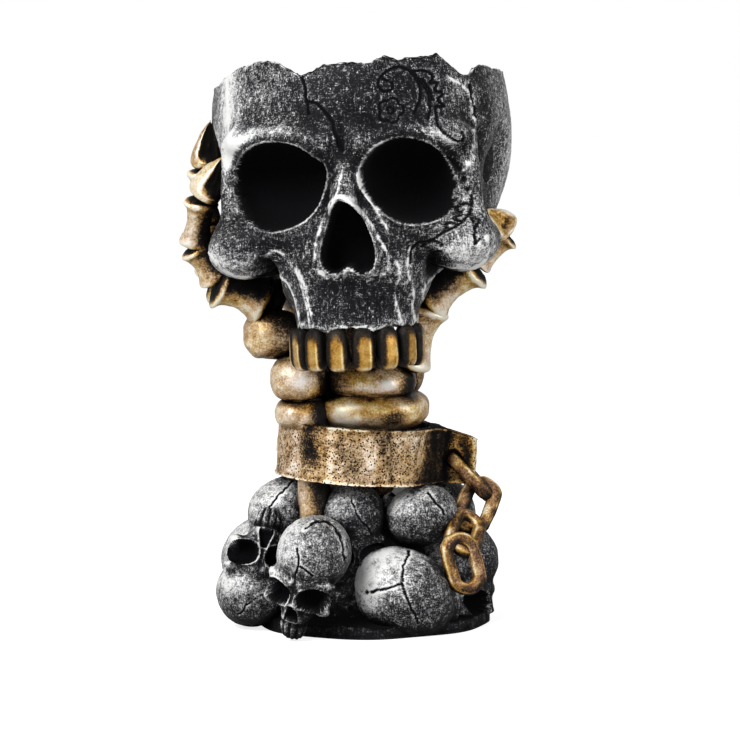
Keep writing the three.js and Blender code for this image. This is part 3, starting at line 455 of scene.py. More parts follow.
def grain(points, size, seed):
    """Lattice noise from -1 to 1: random values at the corners of cubes of that size, joined by smooth steps."""
    table = np.random.default_rng(seed).uniform(-1, 1, (ATLAS,) * 3)
    spot = np.asarray(points) / size
    cell = np.floor(spot).astype(int)
    part = spot - cell
    part = part * part * (3 - 2 * part)
    total = np.zeros(spot.shape[:-1])
    for corner in itertools.product((0, 1), repeat=3):
        weight = np.prod(np.where(corner, part, 1 - part), axis=-1)
        x, y, z = np.moveaxis((cell + corner) % ATLAS, -1, 0)
        total += weight * table[x, y, z]
    return total


def smooth_curve(points, steps=6, closed=False):
    """A Catmull-Rom curve through the points, with some steps to each span."""
    p = np.array(points, float)
    p = np.vstack([p[-1], p, p[0], p[1]]) if closed else np.vstack([2 * p[0] - p[1], p, 2 * p[-1] - p[-2]])
    a, b, c, d = p[:-3, None], p[1:-2, None], p[2:-1, None], p[3:, None]
    t = (np.arange(steps) / steps)[None, :, None]
    curve = 0.5 * (2 * b + (c - a) * t + (2 * a - 5 * b + 4 * c - d) * t**2 + (3 * b - a - 3 * c + d) * t**3)
    curve = curve.reshape(-1, p.shape[1])
    return np.vstack([curve, curve[0] if closed else p[-2]])


def line_distance(spots, curves):
    """From each spot, the least distance to any span of the curves."""
    flat = spots.reshape(-1, spots.shape[-1])
    least = np.full(len(flat), FAR)
    for curve in curves:
        for a, b in zip(curve[:-1], curve[1:]):
            along = b - a
            q = flat - a
            t = np.clip(q @ along / max(along @ along, 1e-9), 0, 1)
            least = np.minimum(least, np.linalg.norm(q - t[:, None] * along, axis=1))
    return least.reshape(spots.shape[:-1])


def outline_field(outline, step=0.35, margin=7.0):
    """Signed distance in the X-Z plane to a closed outline, worked out on a lattice and read between its nodes."""
    curve = smooth_curve(outline, closed=True)
    low = curve.min(0) - margin
    counts = np.ceil((curve.max(0) + margin - low) / step).astype(int)
    lattice = low + step * np.stack(np.meshgrid(*[np.arange(n) for n in counts], indexing="ij"), axis=-1)
    a, b = curve[:-1], curve[1:]
    x, z = lattice[..., 0, None], lattice[..., 1, None]
    across = (a[:, 1] > z) != (b[:, 1] > z)
    rise = np.where(b[:, 1] == a[:, 1], 1e-9, b[:, 1] - a[:, 1])
    inside = np.sum(across & (x < a[:, 0] + (z - a[:, 1]) * (b[:, 0] - a[:, 0]) / rise), axis=-1) % 2 == 1
    values = line_distance(lattice, [curve]) * np.where(inside, -1, 1)

    def field(p):
        spot = np.clip((p[..., [0, 2]] - low) / step, 0, counts - 1.001)
        cell = spot.astype(int)
        u, v = np.moveaxis(spot - cell, -1, 0)
        i, j = np.moveaxis(cell, -1, 0)
        near = values[i, j] * (1 - u) + values[i + 1, j] * u
        far = values[i, j + 1] * (1 - u) + values[i + 1, j + 1] * u
        return near * (1 - v) + far * v

    return field


def cast(field, origins, rays, reach, pace=0.7):
    """Where each ray, followed in from its reach, first meets the field's surface: long steps, then halvings."""
    shape = np.broadcast_shapes(origins.shape, rays.shape)
    start = np.broadcast_to(origins, shape).reshape(-1, 3)
    way = np.broadcast_to(rays, shape).reshape(-1, 3)
    outside = np.full(len(way), float(reach))
    inside = outside.copy()
    live = np.arange(len(way))
    for _ in range(RAY_STEPS):
        depth = field(start[live] + way[live] * inside[live, None])
        going = (depth > 0) & (inside[live] > 0)
        live, depth = live[going], depth[going]
        if not len(live):
            break
        outside[live] = inside[live]
        inside[live] = np.maximum(inside[live] - np.maximum(depth * pace, reach * 0.003), 0)
    for _ in range(RAY_HALVINGS):
        t = (outside + inside) / 2
        out = field(start + way * t[:, None]) > 0
        outside, inside = np.where(out, t, outside), np.where(out, inside, t)
    return (start + way * inside[:, None]).reshape(shape)


def normals(grid, rows_close=False):
    """Unit normals of a grid whose columns close, from the differences between neighbours."""
    across = np.roll(grid, -1, 1) - np.roll(grid, 1, 1)
    if rows_close:
        up = np.roll(grid, -1, 0) - np.roll(grid, 1, 0)
    else:
        up = np.gradient(grid, axis=0)
    n = np.cross(across, up)
    n /= np.maximum(np.linalg.norm(n, axis=-1, keepdims=True), 1e-9)
    middle = grid.reshape(-1, 3).mean(0)
    return n if rows_close else n * np.sign(np.sum(n * (grid - middle)) or 1)


def softened(grid, width, rows_close=False):
    """The grid with each point moved to the mean of its neighbours within that many rows and columns."""
    total = sum(np.roll(grid, k, 1) for k in range(-width, width + 1)) / (2 * width + 1)
    if rows_close:
        return sum(np.roll(total, k, 0) for k in range(-width, width + 1)) / (2 * width + 1)
    padded = np.concatenate([total[:1]] * width + [total] + [total[-1:]] * width)
    return sum(padded[k : k + len(total)] for k in range(2 * width + 1)) / (2 * width + 1)


def relief(grid, normal, width, rows_close=False):
    """How far each point stands out from the mean of its neighbours, along its normal."""
    return np.sum((grid - softened(grid, width, rows_close)) * normal, axis=-1)


# Curves of one number, and sums of patches
def bell(x, middle, reach):
    """One at the middle, falling off as the exponential of minus the squared distance in reaches."""
    return np.exp(-(((x - middle) / reach) ** 2))


def climb(x, start, reach):
    """From 0 at the start to 1 a reach further on, straight between. A reach below zero runs the other way."""
    return np.clip((x - start) / reach, 0, 1)


def patches(x, z, table):
    """The sum of the table's patches: gain, middle in X and Z, and how far each reaches in X and Z."""
    return sum(gain * bell(x, a, wide) * bell(z, b, tall) for gain, a, b, wide, tall in table)


# Materials
SILVER = [(0.0, (0.003, 0.003, 0.004)), (0.26, (0.008, 0.008, 0.01)), (0.42, (0.03, 0.03, 0.033)),
          (0.6, (0.13, 0.13, 0.134)), (0.8, (0.42, 0.42, 0.42)), (1.0, (0.86, 0.86, 0.85))]
STEEL = [(0.0, (0.004, 0.004, 0.005)), (0.35, (0.012, 0.011, 0.013)), (0.6, (0.05, 0.048, 0.055)),
         (0.85, (0.28, 0.28, 0.3)), (1.0, (0.6, 0.6, 0.6))]
BONE = [(0.0, (0.004, 0.003, 0.003)), (0.24, (0.018, 0.012, 0.009)), (0.4, (0.13, 0.08, 0.04)),
        (0.56, (0.36, 0.24, 0.12)), (0.72, (0.6, 0.44, 0.3)), (0.86, (0.84, 0.68, 0.54)), (1.0, (0.95, 0.9, 0.84))]
GOLD = [(0.0, (0.004, 0.003, 0.002)), (0.24, (0.025, 0.014, 0.005)), (0.42, (0.17, 0.08, 0.012)),
        (0.6, (0.44, 0.22, 0.035)), (0.78, (0.66, 0.42, 0.11)), (0.9, (0.86, 0.7, 0.38)), (1.0, (0.95, 0.88, 0.68))]
COPPER = [(0.0, (0.004, 0.003, 0.002)), (0.24, (0.03, 0.012, 0.006)), (0.42, (0.13, 0.055, 0.025)),
          (0.6, (0.3, 0.16, 0.075)), (0.78, (0.58, 0.4, 0.2)), (0.9, (0.82, 0.68, 0.42)), (1.0, (0.95, 0.88, 0.7))]

# What a material is when its entry below doesn't say otherwise.
PLAIN_FINISH = {"pits": 0.0, "hollow": 0.004, "scratch": 0.35, "smooth": 0.5, "gloss": 0.15}
# The finishes: two ramps from the level to a colour, one for cool and one for warm places, the noise's scale and its
# strength at three sizes, bump, roughness, metallic, and the CAD slot that each stands for.
FINISHES = {
    "antique_silver_skull": dict(paint=SILVER, gilt=STEEL, scale=1800, mottle=(0.4, 2.6, 3.2), bump=0.6,
                                 roughness=0.5, metallic=0.15, scratch=3.6, slot="antique_silver"),
    "antique_silver_heap": dict(paint=SILVER, gilt=STEEL, scale=1700, mottle=(0.4, 2.2, 3.4), bump=0.6,
                                roughness=0.5, metallic=0.15, hollow=0.005, scratch=2.0, slot="antique_silver"),
    "antique_bronze_bone": dict(paint=BONE, gilt=GOLD, scale=1300, mottle=(0.4, 0.7, 1.8), bump=0.5,
                                roughness=0.36, metallic=0.35, hollow=0.006, scratch=0.8, smooth=0.9, gloss=0.3,
                                slot="antique_bronze"),
    "antique_bronze_shackle": dict(paint=BONE, gilt=GOLD, scale=1500, mottle=(0.5, 1.1, 2.2), bump=0.9,
                                   roughness=0.5, metallic=0.2, pits=1.6, hollow=0.005, scratch=0.9,
                                   slot="antique_bronze"),
    "antique_bronze_chain": dict(paint=GOLD, gilt=COPPER, scale=1500, mottle=(0.6, 1.2, 2.6), bump=0.6,
                                 roughness=0.4, metallic=0.3, hollow=0.003, scratch=1.0, smooth=0.3, gloss=0.35,
                                 slot="antique_bronze"),
    "antique_bronze_gold": dict(paint=GOLD, gilt=BONE, scale=1300, mottle=(0.3, 0.6, 0.9), bump=0.5,
                                roughness=0.3, metallic=0.5, hollow=0.003, scratch=0.4, smooth=0.7, gloss=0.4,
                                slot="antique_bronze"),
    "dark_plinth_paint": dict(paint=SILVER, gilt=STEEL, scale=1700, mottle=(0.4, 2.0, 2.6), bump=0.8,
                              roughness=0.7, metallic=0.1, hollow=0.006, scratch=1.6, slot="dark_plinth"),
}


class Signal:
    """A number in a material's node tree. Its sums, differences and products are Math nodes."""

    def __init__(self, tree, socket):
        self.tree, self.socket = tree, socket

    def math(self, operation, *others):
        """A Math node of this number and the others."""
        made = self.tree.nodes.new("ShaderNodeMath")
        made.operation = operation
        self.tree.links.new(self.socket, made.inputs[0])
        for sink, other in zip(made.inputs[1:], others):
            if isinstance(other, Signal):
                self.tree.links.new(other.socket, sink)
            else:
                sink.default_value = other
        return Signal(self.tree, made.outputs[0])

    def __add__(self, other):
        return self.math("ADD", other)

    def __sub__(self, other):
        return self.math("SUBTRACT", other)

    def __mul__(self, other):
        return self.math("MULTIPLY", other)


def antique(name):
    """Dark wash over a metallic paint that was rubbed off the raised places. The level that picks the colour is
    the mesh's tone, plus noise at three sizes and crossed scratches, less painted shade from ambient occlusion in
    the hollows and between parts. The noise fades on pale places by the smoothness."""
    found = bpy.data.materials.get(name)
    if found:
        return found
    finish = SimpleNamespace(**{**PLAIN_FINISH, **FINISHES[name]})
    material = bpy.data.materials.new(name)
    material.use_nodes = True
    tree = material.node_tree
    tree.nodes.clear()
    join = tree.links.new

    def node(kind, **values):
        made = tree.nodes.new(kind)
        for key, value in values.items():
            setattr(made, key, value)
        return made

    def noise(scale, detail, rough, stretch=None, rotation=None):
        made = node("ShaderNodeTexNoise")
        for key, value in (("Scale", finish.scale * scale), ("Detail", detail), ("Roughness", rough)):
            made.inputs[key].default_value = value
        spot = place
        if stretch:
            mapping = node("ShaderNodeMapping")
            mapping.inputs["Scale"].default_value = stretch
            mapping.inputs["Rotation"].default_value = rotation
            join(place, mapping.inputs["Vector"])
            spot = mapping.outputs[0]
        join(spot, made.inputs["Vector"])
        return Signal(tree, made.outputs[0])

    def ramp(stops, level):
        made = node("ShaderNodeValToRGB")
        elements = made.color_ramp.elements
        while len(elements) < len(stops):
            elements.new(0.5)
        for element, (position, colour) in zip(elements, stops):
            element.position = position
            element.color = (*colour, 1)
        join(level.socket, made.inputs[0])
        return made.outputs[0]

    place = node("ShaderNodeTexCoord").outputs["Object"]
    tone, warm = (Signal(tree, node("ShaderNodeAttribute", attribute_name=key).outputs["Fac"])
                  for key in ("tone", "warm"))
    broad, middle, fine = noise(0.12, 2, 0.6), noise(0.45, 4, 0.65), noise(1.3, 3, 0.7)
    crossed = noise(0.9, 3, 0.7, (0.22, 1, 1.6), (0, 0.5, 0)).math(
        "MAXIMUM", noise(0.9, 3, 0.7, (1.5, 1, 0.2), (0, 0.3, 0.4)))
    stipple = (fine - 0.5) * finish.mottle[2] + (middle - 0.5) * finish.mottle[1] + (crossed - 0.56) * finish.scratch
    share = (tone * -finish.smooth + (0.3 + finish.smooth)).math("MAXIMUM", 0.15).math("MINIMUM", 1.0)
    # Painted shade: ambient occlusion darkens the hollows and the places between parts, over the paint's own dark
    # wash.
    shade = node("ShaderNodeAmbientOcclusion", samples=8)
    shade.inputs["Distance"].default_value = finish.hollow
    painted_shade = (Signal(tree, shade.outputs["AO"]) - 1.0) * 0.55
    level = tone + (broad - 0.5) * finish.mottle[0] + stipple * share + painted_shade
    height = (middle + fine) * 0.5
    if finish.pits:
        cells = node("ShaderNodeTexVoronoi", feature="F1")
        cells.inputs["Scale"].default_value = finish.scale * 0.8
        join(place, cells.inputs["Vector"])
        depth = Signal(tree, cells.outputs["Distance"]).math("SMOOTH_MIN", 0.42, 0.1)
        pocks = ((depth * -1.0 + 0.36) * (middle * (finish.pits * 2))).math("MAXIMUM", 0.0)
        level, height = level - pocks * 3.0, height - pocks * 1.6
    level = level.math("MAXIMUM", 0.0)
    mix = node("ShaderNodeMix", data_type="RGBA")
    join((warm + (broad - 0.5) * 1.2).socket, mix.inputs["Factor"])
    # A colour mix takes its two colours at these sockets.
    join(ramp(finish.paint, level), mix.inputs[6])
    join(ramp(finish.gilt, level), mix.inputs[7])
    shader = node("ShaderNodeBsdfPrincipled")
    join(mix.outputs[2], shader.inputs["Base Color"])
    dull = (tone * -1.2 + 0.36).math("MAXIMUM", 0.0)
    join(((middle - 0.5) * 0.3 + (dull + finish.roughness)).socket, shader.inputs["Roughness"])
    shader.inputs["Metallic"].default_value = finish.metallic
    shader.inputs["Specular IOR Level"].default_value = finish.gloss
    bumps = node("ShaderNodeBump")
    bumps.inputs["Strength"].default_value = finish.bump
    bumps.inputs["Distance"].default_value = 0.0004
    join(height.socket, bumps.inputs["Height"])
    join(bumps.outputs[0], shader.inputs["Normal"])
    join(shader.outputs[0], node("ShaderNodeOutputMaterial").inputs["Surface"])
    return material


# Pieces
def painted(grid, gains, seed, base, width=3, scratch=1.0):
    """The tone of a grid: raised places are rubbed pale and low ones keep the dark wash, with mottling. The gains
    are for raised and for low places, and the width is how many rows and columns count as neighbours."""
    raised = relief(grid, normals(grid), width)
    tone = base + np.clip(raised * gains[0], 0, 0.5) + np.clip(raised * gains[1], -0.5, 0)
    return tone + scratch * (0.06 * grain(grid, 2.1, seed) + 0.07 * grain(grid, 6.5, seed + 1))


def show(node, finish, grid, tone, warm=0.0, loop=False):
    """Makes a grid of millimetre points the closed mesh that shows a CAD node. Its columns close; its ends are
    closed by a point each, or its rows close too, as a loop. Tone and warmth become attributes."""
    rows, columns = grid.shape[:2]
    index = np.arange(rows * columns).reshape(rows, columns)
    beside = np.roll(index, -1, 1)
    lower, upper = (slice(None), None) if loop else (slice(-1), slice(1, None))
    above = [np.roll(i, -1, 0) if loop else i[upper] for i in (index, beside)]
    quads = np.stack([index[lower], beside[lower], above[1], above[0]], axis=-1).reshape(-1, 4)
    points, fans = grid.reshape(-1, 3), np.zeros((0, 3), int)
    layers = {"tone": tone, "warm": np.broadcast_to(warm, tone.shape)}
    if not loop:
        points = np.concatenate([points, [grid[0].mean(0), grid[-1].mean(0)]])
        layers = {key: np.append(v.ravel(), [v[0].mean(), v[-1].mean()]) for key, v in layers.items()}
        foot, top = (np.full(columns, rows * columns + k) for k in (0, 1))
        fans = np.concatenate([np.stack([beside[0], index[0], foot], axis=-1),
                               np.stack([index[-1], beside[-1], top], axis=-1)])
    a, b, c, d = np.moveaxis(points[quads] - points[0], 1, 0)
    if np.sum(np.cross(a, b) * c) + np.sum(np.cross(a, c) * d) < 0:
        quads, fans = quads[:, ::-1], fans[:, ::-1]
    mesh = bpy.data.meshes.new("cast_" + node)
    mesh.from_pydata((points * MM).tolist(), [], quads.tolist() + fans.tolist(), shade_flat=False)
    for key, values in layers.items():
        mesh.attributes.new(key, "FLOAT", "POINT").data.foreach_set("value", values.astype(np.float32).ravel())
    if mesh.validate():
        raise RuntimeError(f"{node}: the mesh had to be mended")
    mesh.materials.append(antique(finish))
    piece = bpy.data.objects.new(mesh.name, mesh)
    bpy.context.scene.collection.objects.link(piece)
    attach(piece, "root")
    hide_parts(node)


# The skull bowl
def leaned(angle):
    """The turn about Y by an angle."""
    return np.array([[math.cos(angle), 0, math.sin(angle)], [0, 1, 0], [-math.sin(angle), 0, math.cos(angle)]])


def skull_pose(points, s):
    """From the skull's own frame to the row frame: leaned about Y, turned about Z, then moved into place."""
    a, b = s.yaw, s.roll
    about_z = np.array([[math.cos(a), -math.sin(a), 0], [math.sin(a), math.cos(a), 0], [0, 0, 1]])
    return points @ (about_z @ leaned(b)).T + np.array([s.shift, 0, s.foot + s.height / 2])


def cranium(s, inset, top):
    """Two half ellipsoids with one middle, a tall one above it and a shorter one below."""
    half = s.height / 2
    middle = (0, s.half_depth * CRANIUM.setback, half * CRANIUM.level)
    reach = s.half_width - inset, s.half_depth - inset
    up = ball(middle, (*reach, half * top - inset))
    down = ball(middle, (*reach, half * CRANIUM.bottom - inset))
    return lambda p: np.where(p[..., 2] > middle[2], up(p), down(p))


def skull_fields(s):
    """The outside of the skull, its inner hollow, how far its openings sink back, its floor's level and the
    outlines of its three openings."""
    scale = (s.half_width, s.half_depth, s.height / 2)
    base, parts = cranium(s, 0, CRANIUM.top), forms(FACE_RODS, FACE_BALLS, scale)
    carvings = forms([], FACE_CARVINGS, scale)
    holes = [outline_field(outline) for outline in (ORBIT_LEFT, ORBIT_RIGHT, NOSE)]
    mouth = -s.half_depth * 0.84
    gums = -scale[2] + s.tooth_height * 0.83

    def outside(p):
        d = base(p)
        for part, soft in parts:
            d = blend(d, part(p), soft)
        for part, soft in carvings:
            d = carve(d, part(p), soft)
        front = climb(p[..., 1], -20, -6)
        for hole, (height, width) in zip(holes, HOLE_LIPS):
            d = d - front * height * bell(hole(p), 0.8, width)
        around = np.arctan2(p[..., 0], -p[..., 1] - 14) * 17.4 / s.tooth_width
        scallop = 1.5 * np.abs(np.sin(np.pi * around + np.pi / 2))
        return carve(d, p[..., 2] - gums - 0.4 - scallop, 0.8)

    def sink(p):
        """How far back along Y each point goes: a bore with a rounded end for an orbit, a flat one for the nose."""
        y = p[..., 1]
        back = y.copy()
        for hole in holes:
            inset = np.maximum(-hole(p), 0)
            if hole is holes[-1]:
                target = y + (-s.half_depth * 0.72 - y) * np.clip(inset / 0.9, 0, 1) ** 0.5
            else:
                target = mouth + s.socket_depth * (1 - (1 - np.clip(inset / 12.5, 0, 1)) ** 2) ** 0.25
            back = np.where((inset > 0) & (y < -20), np.maximum(back, target), back)
        return back - y

    front = mouth + s.socket_depth + s.wall
    shelf = scale[2] * 0.18 + 12.8 + s.wall
    inner = cranium(s, s.wall, CRANIUM.hollow_top)

    def hollow(p):
        behind = front - np.maximum(0, p[..., 2] - shelf) * 2.2 - p[..., 1]
        return np.maximum(inner(p), behind)

    return outside, hollow, sink, s.bowl_floor - s.foot - scale[2], holes


def cut_lines(points):
    """Depth from 0 to 1 of the cracks and scrolls at each point, and how near it is to their pale edges."""
    spots = points[..., [0, 2]]
    near, fine = np.full(points.shape[:2], FAR), np.full(points.shape[:2], FAR)
    front = (points[..., 1] < -18) & (points[..., 2] > -20)
    wiggles = np.stack([grain(points[front], 1.7, seed) for seed in (5, 6)], axis=-1)
    near[front] = line_distance(spots[front] + 0.35 * wiggles, [smooth_curve(c, 3) for c in CRACKS])
    fine[front] = line_distance(spots[front], [smooth_curve(c, 5) for c in SCROLLS])
    x, z = spots[..., 0] - FLOWER.x, spots[..., 1] - FLOWER.z
    petals = FLOWER.radius * (1 + FLOWER.petal * np.abs(np.cos(2.5 * np.arctan2(z, x))) - 0.1)
    flower = np.minimum(np.abs(np.hypot(x, z) - petals), np.abs(np.hypot(x, z) - FLOWER.eye))
    fine = np.where(front, np.minimum(fine, flower), fine)
    near = np.minimum(near, line_distance(points, [smooth_curve(SIDE_CRACK, 4)]))
    return np.maximum(bell(near, 0, 0.33), 0.9 * bell(fine, 0, 0.27)), bell(np.minimum(near, fine), 0.75, 0.3)


def rim_level(bearing, s):
    """Level of the broken rim at a bearing from the face in radians, with a ragged edge."""
    spots = np.stack([np.cos(bearing) * 50, np.sin(bearing) * 50, np.zeros_like(bearing)], axis=-1)
    ragged = 0.45 * grain(spots, 3.1, 41) + 0.3 * grain(spots, 1.3, 42)
    broken = s.rim_break * np.interp(np.degrees(bearing), *np.array(RIM).T)
    return s.height / 2 - broken + np.minimum(ragged - 1.0, -0.65)


def skull_grid(s):
    """Rows of points from the underside up the outside, and those over the broken edge and down the hollow. Each
    row goes round the skull and crowds towards the face."""
    outside, hollow, sink, floor, holes = skull_fields(s)
    turns = (np.arange(s.columns) + 0.5) / s.columns * 2 * np.pi - np.pi
    bearing = turns - 0.55 * np.sin(turns)
    across = np.stack([np.sin(bearing), -np.cos(bearing), np.zeros_like(bearing)], axis=-1)
    start, middle = np.array([0, 2.0, -12.0]), np.array([0, s.half_depth * 0.1, 0])
    slant = -np.radians(np.concatenate([np.linspace(88, 34, 12), np.linspace(32.5, 0, 50)[:-1]]))[:, None, None]
    under = cast(outside, start, across * np.cos(slant) + UP * np.sin(slant), 92)
    rim = rim_level(bearing, s)
    share = np.linspace(0, 1, s.rows)[:, None, None]
    side = cast(outside, start + share * (rim[None, :, None] - start[2]) * UP, across, 80)
    edge = cast(hollow, middle + rim[:, None] * UP, across, 60)
    share = (np.linspace(0, 1, 15)[1:] ** 1.3)[:, None, None]
    inside = cast(hollow, middle + (rim[None, :, None] + share * (floor - rim)[None, :, None]) * UP, across, 60)
    steps = (np.arange(1, 6) / 6)[:, None, None]
    lip = side[-1] * (1 - steps) + edge * steps
    chips = 0.7 * grain(lip, 2.2, 43) + 0.5 * grain(lip, 0.9, 44)
    lip = lip + chips[..., None] * np.sin(np.pi * steps) * UP
    lip[..., 2] = np.minimum(lip[..., 2], s.height / 2 - 0.9)
    centre = np.array([0, inside[-1][:, 1].mean(), floor])
    base = centre + (inside[-1] - centre) * np.array([0.7, 0.4, 0.1])[:, None, None]
    return np.concatenate([under, side]), np.concatenate([lip, edge[None], inside, base]), sink, holes


def build_skull_bowl():
    """The bowl with its cracks cut in and its openings sunk, then posed. Its tone is a sum: the relief, noise, the
    patches' bumps, and pale lines along the openings' rims, the ridges and the cracks."""
    s = sizes("planter_skull")
    outer, inner, sink, holes = skull_grid(s)

    def padded(values, rest=0.0):
        """Values of the outside's rows, and one number for all the rows past the rim."""
        return np.concatenate([values, np.full(inner.shape[:2], rest)])

    grid = np.concatenate([outer, inner])
    cut, pale_edge = (padded(values) for values in cut_lines(outer))
    front = (outer[..., 1] < -12).astype(float)
    ridge = line_distance(outer[..., [0, 2]], [smooth_curve(c, 4) for c in RIDGES])
    crest, halo = padded(bell(ridge, 0, 0.42) * front), padded(bell(ridge, 0, 1.7) * front)
    rims = [padded(hole(outer) + (1 - front) * 9, 9.0) for hole in holes]
    sunk = padded(sink(outer))
    within, upper = climb(sunk, 0.4, 0.9), climb(grid[..., 2], 8, 6)
    rough = 0.07 * grain(grid, 1.1, 11) + 0.16 * grain(grid, 3.7, 12) + 0.3 * grain(grid, 9.0, 13)
    moved = rough * (1 - crest) - 0.4 - cut * s.line_depth + crest * 0.25
    grid = grid + normals(grid) * (moved * (1 - within))[..., None]
    grid[..., 1] += sunk
    normal = normals(grid)
    worn = np.clip(0.6 + 0.55 * grain(grid, 2.2, 16) + 0.55 * grain(grid, 0.8, 17), 0.1, 1.3)
    x, y, z = np.moveaxis(grid, -1, 0)
    face = climb(y, -14, -5)
    tone = 0.27 + np.clip(relief(grid, normal, 2), -0.3, 0.14) + np.clip(relief(grid, normal, 6) * 0.25, -0.2, 0.16)
    tone += 0.05 * grain(grid, 3.5, 14) + 0.12 * grain(grid, 9.0, 15)
    # Painted highlight on the upper left side and the upper right of the front, painted light lifting the right
    # side, and the sides darker towards the bottom.
    tone += 0.5 * bell(x, -37, 7) * climb(z, 12, 10) * (y < 8) + 0.16 * bell(x, 33, 6) * climb(z, 12, 14) * face
    tone += (0.28 * climb(x, 36, 4) * climb(z, -8, 6) - 0.1 * climb(z, -24, -8)) * (1 - face)
    # Paint patches, partly painted highlight and painted shade.
    tone += patches(x, z, CHEEK_SHADES) + patches(x, z, FACE_SHADES) * face
    tone += patches(x, z, [GUMS]) * face * bell(grain(grid, 4.5, 18), 0, 0.13)
    for rim, brow in zip(rims, BROWS):
        tone += (0.4 + 0.2 * upper) * bell(rim, 0.3, 0.35) * worn - 0.3 * bell(rim, 1.5, 0.6) * upper
        tone += patches(x, z, [brow]) * bell(rim, 4.2, 1.9) * upper * face
        tone += 0.16 * bell(rim, 4.0, 1.4) * upper * face + 0.14 * bell(rim, 2.4, 1.6) * (1 - upper)
    nose = rims[-1]
    tone += (0.5 * bell(nose, 0.3, 0.35) + 0.34 * bell(nose, 2.3, 0.5) - 0.12 * bell(nose, 4.0, 1.0)) * worn
    tone += (0.5 * crest + 0.3 * halo) * worn + 0.16 * pale_edge * worn - 0.75 * cut
    tone = tone * (1 - within) - 0.9 * within
    row = np.arange(len(grid))[:, None] - len(outer)
    tone = np.where(row >= 4, np.minimum(tone, 0.36), tone)
    tone += ((row >= -1) & (row < 5)) * (0.18 + 0.5 * grain(grid, 1.6, 19))
    placed = skull_pose(grid, s)
    placed[..., 1] -= 0.8 * np.minimum(placed[..., 1] - s.front_limit, 0)
    show("skull_bowl", "antique_silver_skull", placed, tone)


# Teeth, wrist and fingers
def sphere_rays(rows, columns, crowd=0.0):
    """Unit rays by level and bearing from -Y, the poles along Z left out."""
    level = (np.arange(rows) + 0.5) / rows * np.pi - np.pi / 2
    turns = (np.arange(columns) + 0.5) / columns * 2 * np.pi - np.pi
    up, round_about = np.meshgrid(level, turns - crowd * np.sin(turns), indexing="ij")
    return np.stack([np.cos(up) * np.sin(round_about), -np.cos(up) * np.cos(round_about), np.sin(up)], axis=-1)


def pebble(reach, squareness, rows, columns):
    """An ellipsoid pulled towards its box: each part of the unit ray raised to the squareness, sign kept."""
    rays = sphere_rays(rows, columns)
    return np.sign(rays) * np.abs(rays) ** squareness * np.array(reach)


def build_teeth():
    """Pebbles along an arch, an ellipse in plan, each turned with it and worn to a gold stripe in front."""
    s = sizes("planter_skull")
    tall, depth, width = s.tooth_height / 2, s.tooth_depth / 2, s.tooth_width * 0.47
    arch_x, arch_y = s.half_width * 0.385, s.half_depth * 0.34
    for i in range(s.tooth_count):
        rank = i - (s.tooth_count - 1) / 2
        angle = rank * s.tooth_width / ((arch_x + arch_y) / 2)
        grid = pebble((s.tooth_width * 0.485, depth, tall), 0.6, 48, 56)
        u, v, w = np.moveaxis(grid, -1, 0)
        grid = np.stack([u * (1 - 0.1 * np.clip(w / tall, 0, 1)), v, w], axis=-1)
        if i == BITTEN_TOOTH:
            grid[..., 1] += 1.1 * bell(u, width * 0.1, 1.0) * climb(-w, tall * 0.35, tall * 0.65) * (v < 0)
            grid[..., 2] += 2.2 * bell(u, width * 0.1, 0.9) * climb(-w / tall, 0.6, 0.4)
        dents = 0.12 - 0.1 * grain(grid, 1.4, 60 + i) - 0.1 * grain(grid, 3.5, 80 + i)
        grid = grid - normals(grid) * dents[..., None]
        arch = np.clip((0.84 - w / tall - 0.5 * (u / width) ** 2) * 2.2, 0, 1) * np.clip(-v / depth, 0, 1) ** 0.5
        stripe = np.exp(-(((u - width * 0.1) / (width * 0.62)) ** 4))
        edge = bell(u / width, 0.62, 0.12) + 0.6 * bell(w / tall, -0.9, 0.12)
        tone = 0.06 + (0.64 * stripe + 0.5 * edge) * arch + 0.1 * grain(grid, 1.5, 90 + i)
        c, sn = math.cos(angle), math.sin(angle)
        x, y, z = np.moveaxis(grid, -1, 0)
        spot = [arch_x * sn, -s.half_depth * 0.61 - arch_y * c + s.tooth_depth * 0.2, tall - s.height / 2]
        world = skull_pose(np.stack([x * c - y * sn, x * sn + y * c, z], -1) + np.array(spot), s)
        warm = np.clip(np.clip(-w / tall, 0, 1) * 1.6 - 1.0, 0, 1)
        node = f"upper_tooth_{'right' if rank < 0 else 'left'}_{math.ceil(abs(rank))}"
        show(node, "antique_bronze_gold", world, tone, warm)


def wrist_block(middle, reach, h):
    """Reach and middle of a block of the wrist in millimetres."""
    wide, tall = h.wrist_half_width, h.palm_height
    return (np.array([reach[0] * wide, reach[1] * wide, reach[2] * tall]),
            np.array([middle[0] * wide, middle[1] * wide, h.wrist_level + middle[2] * tall]))


def block_paint(world, seed):
    """Tone and warmth of a block: painted light makes it cream towards the upper left, it is gold below and to the
    right, and painted shadow darkens the faces that look up. The black grooves, worn patches and painted shade that
    the front shows are each a bump in X and Z."""
    normal = normals(world)
    tone = painted(world, (0.9, 1.4), seed, 0.54, scratch=0.7)
    x, _, z = np.moveaxis(world, -1, 0)
    front = np.clip(-normal[..., 1] * 2 + 0.3, 0, 1)
    stain_and_shade, gold, cream = (
        np.max([patches(x, z, [(1, *patch)]) for patch in table], axis=0) * front
        for table in (WRIST_STAINS_AND_SHADE, WRIST_GOLD, WRIST_CREAM)
    )
    # Painted light paler towards the upper left; grooves, stains and painted shade darker; painted shadow of the
    # teeth on faces that look up.
    tone += 0.24 * normal @ np.array(LIT_WRIST) - 0.7 * stain_and_shade - 0.08 * gold + 0.16 * cream
    tone -= 0.3 * climb(normal[..., 2], 0.5, 1)
    return tone, np.clip(0.3 + 0.9 * gold - 0.5 * cream + 0.3 * grain(world, 9.0, seed + 5), 0, 1)


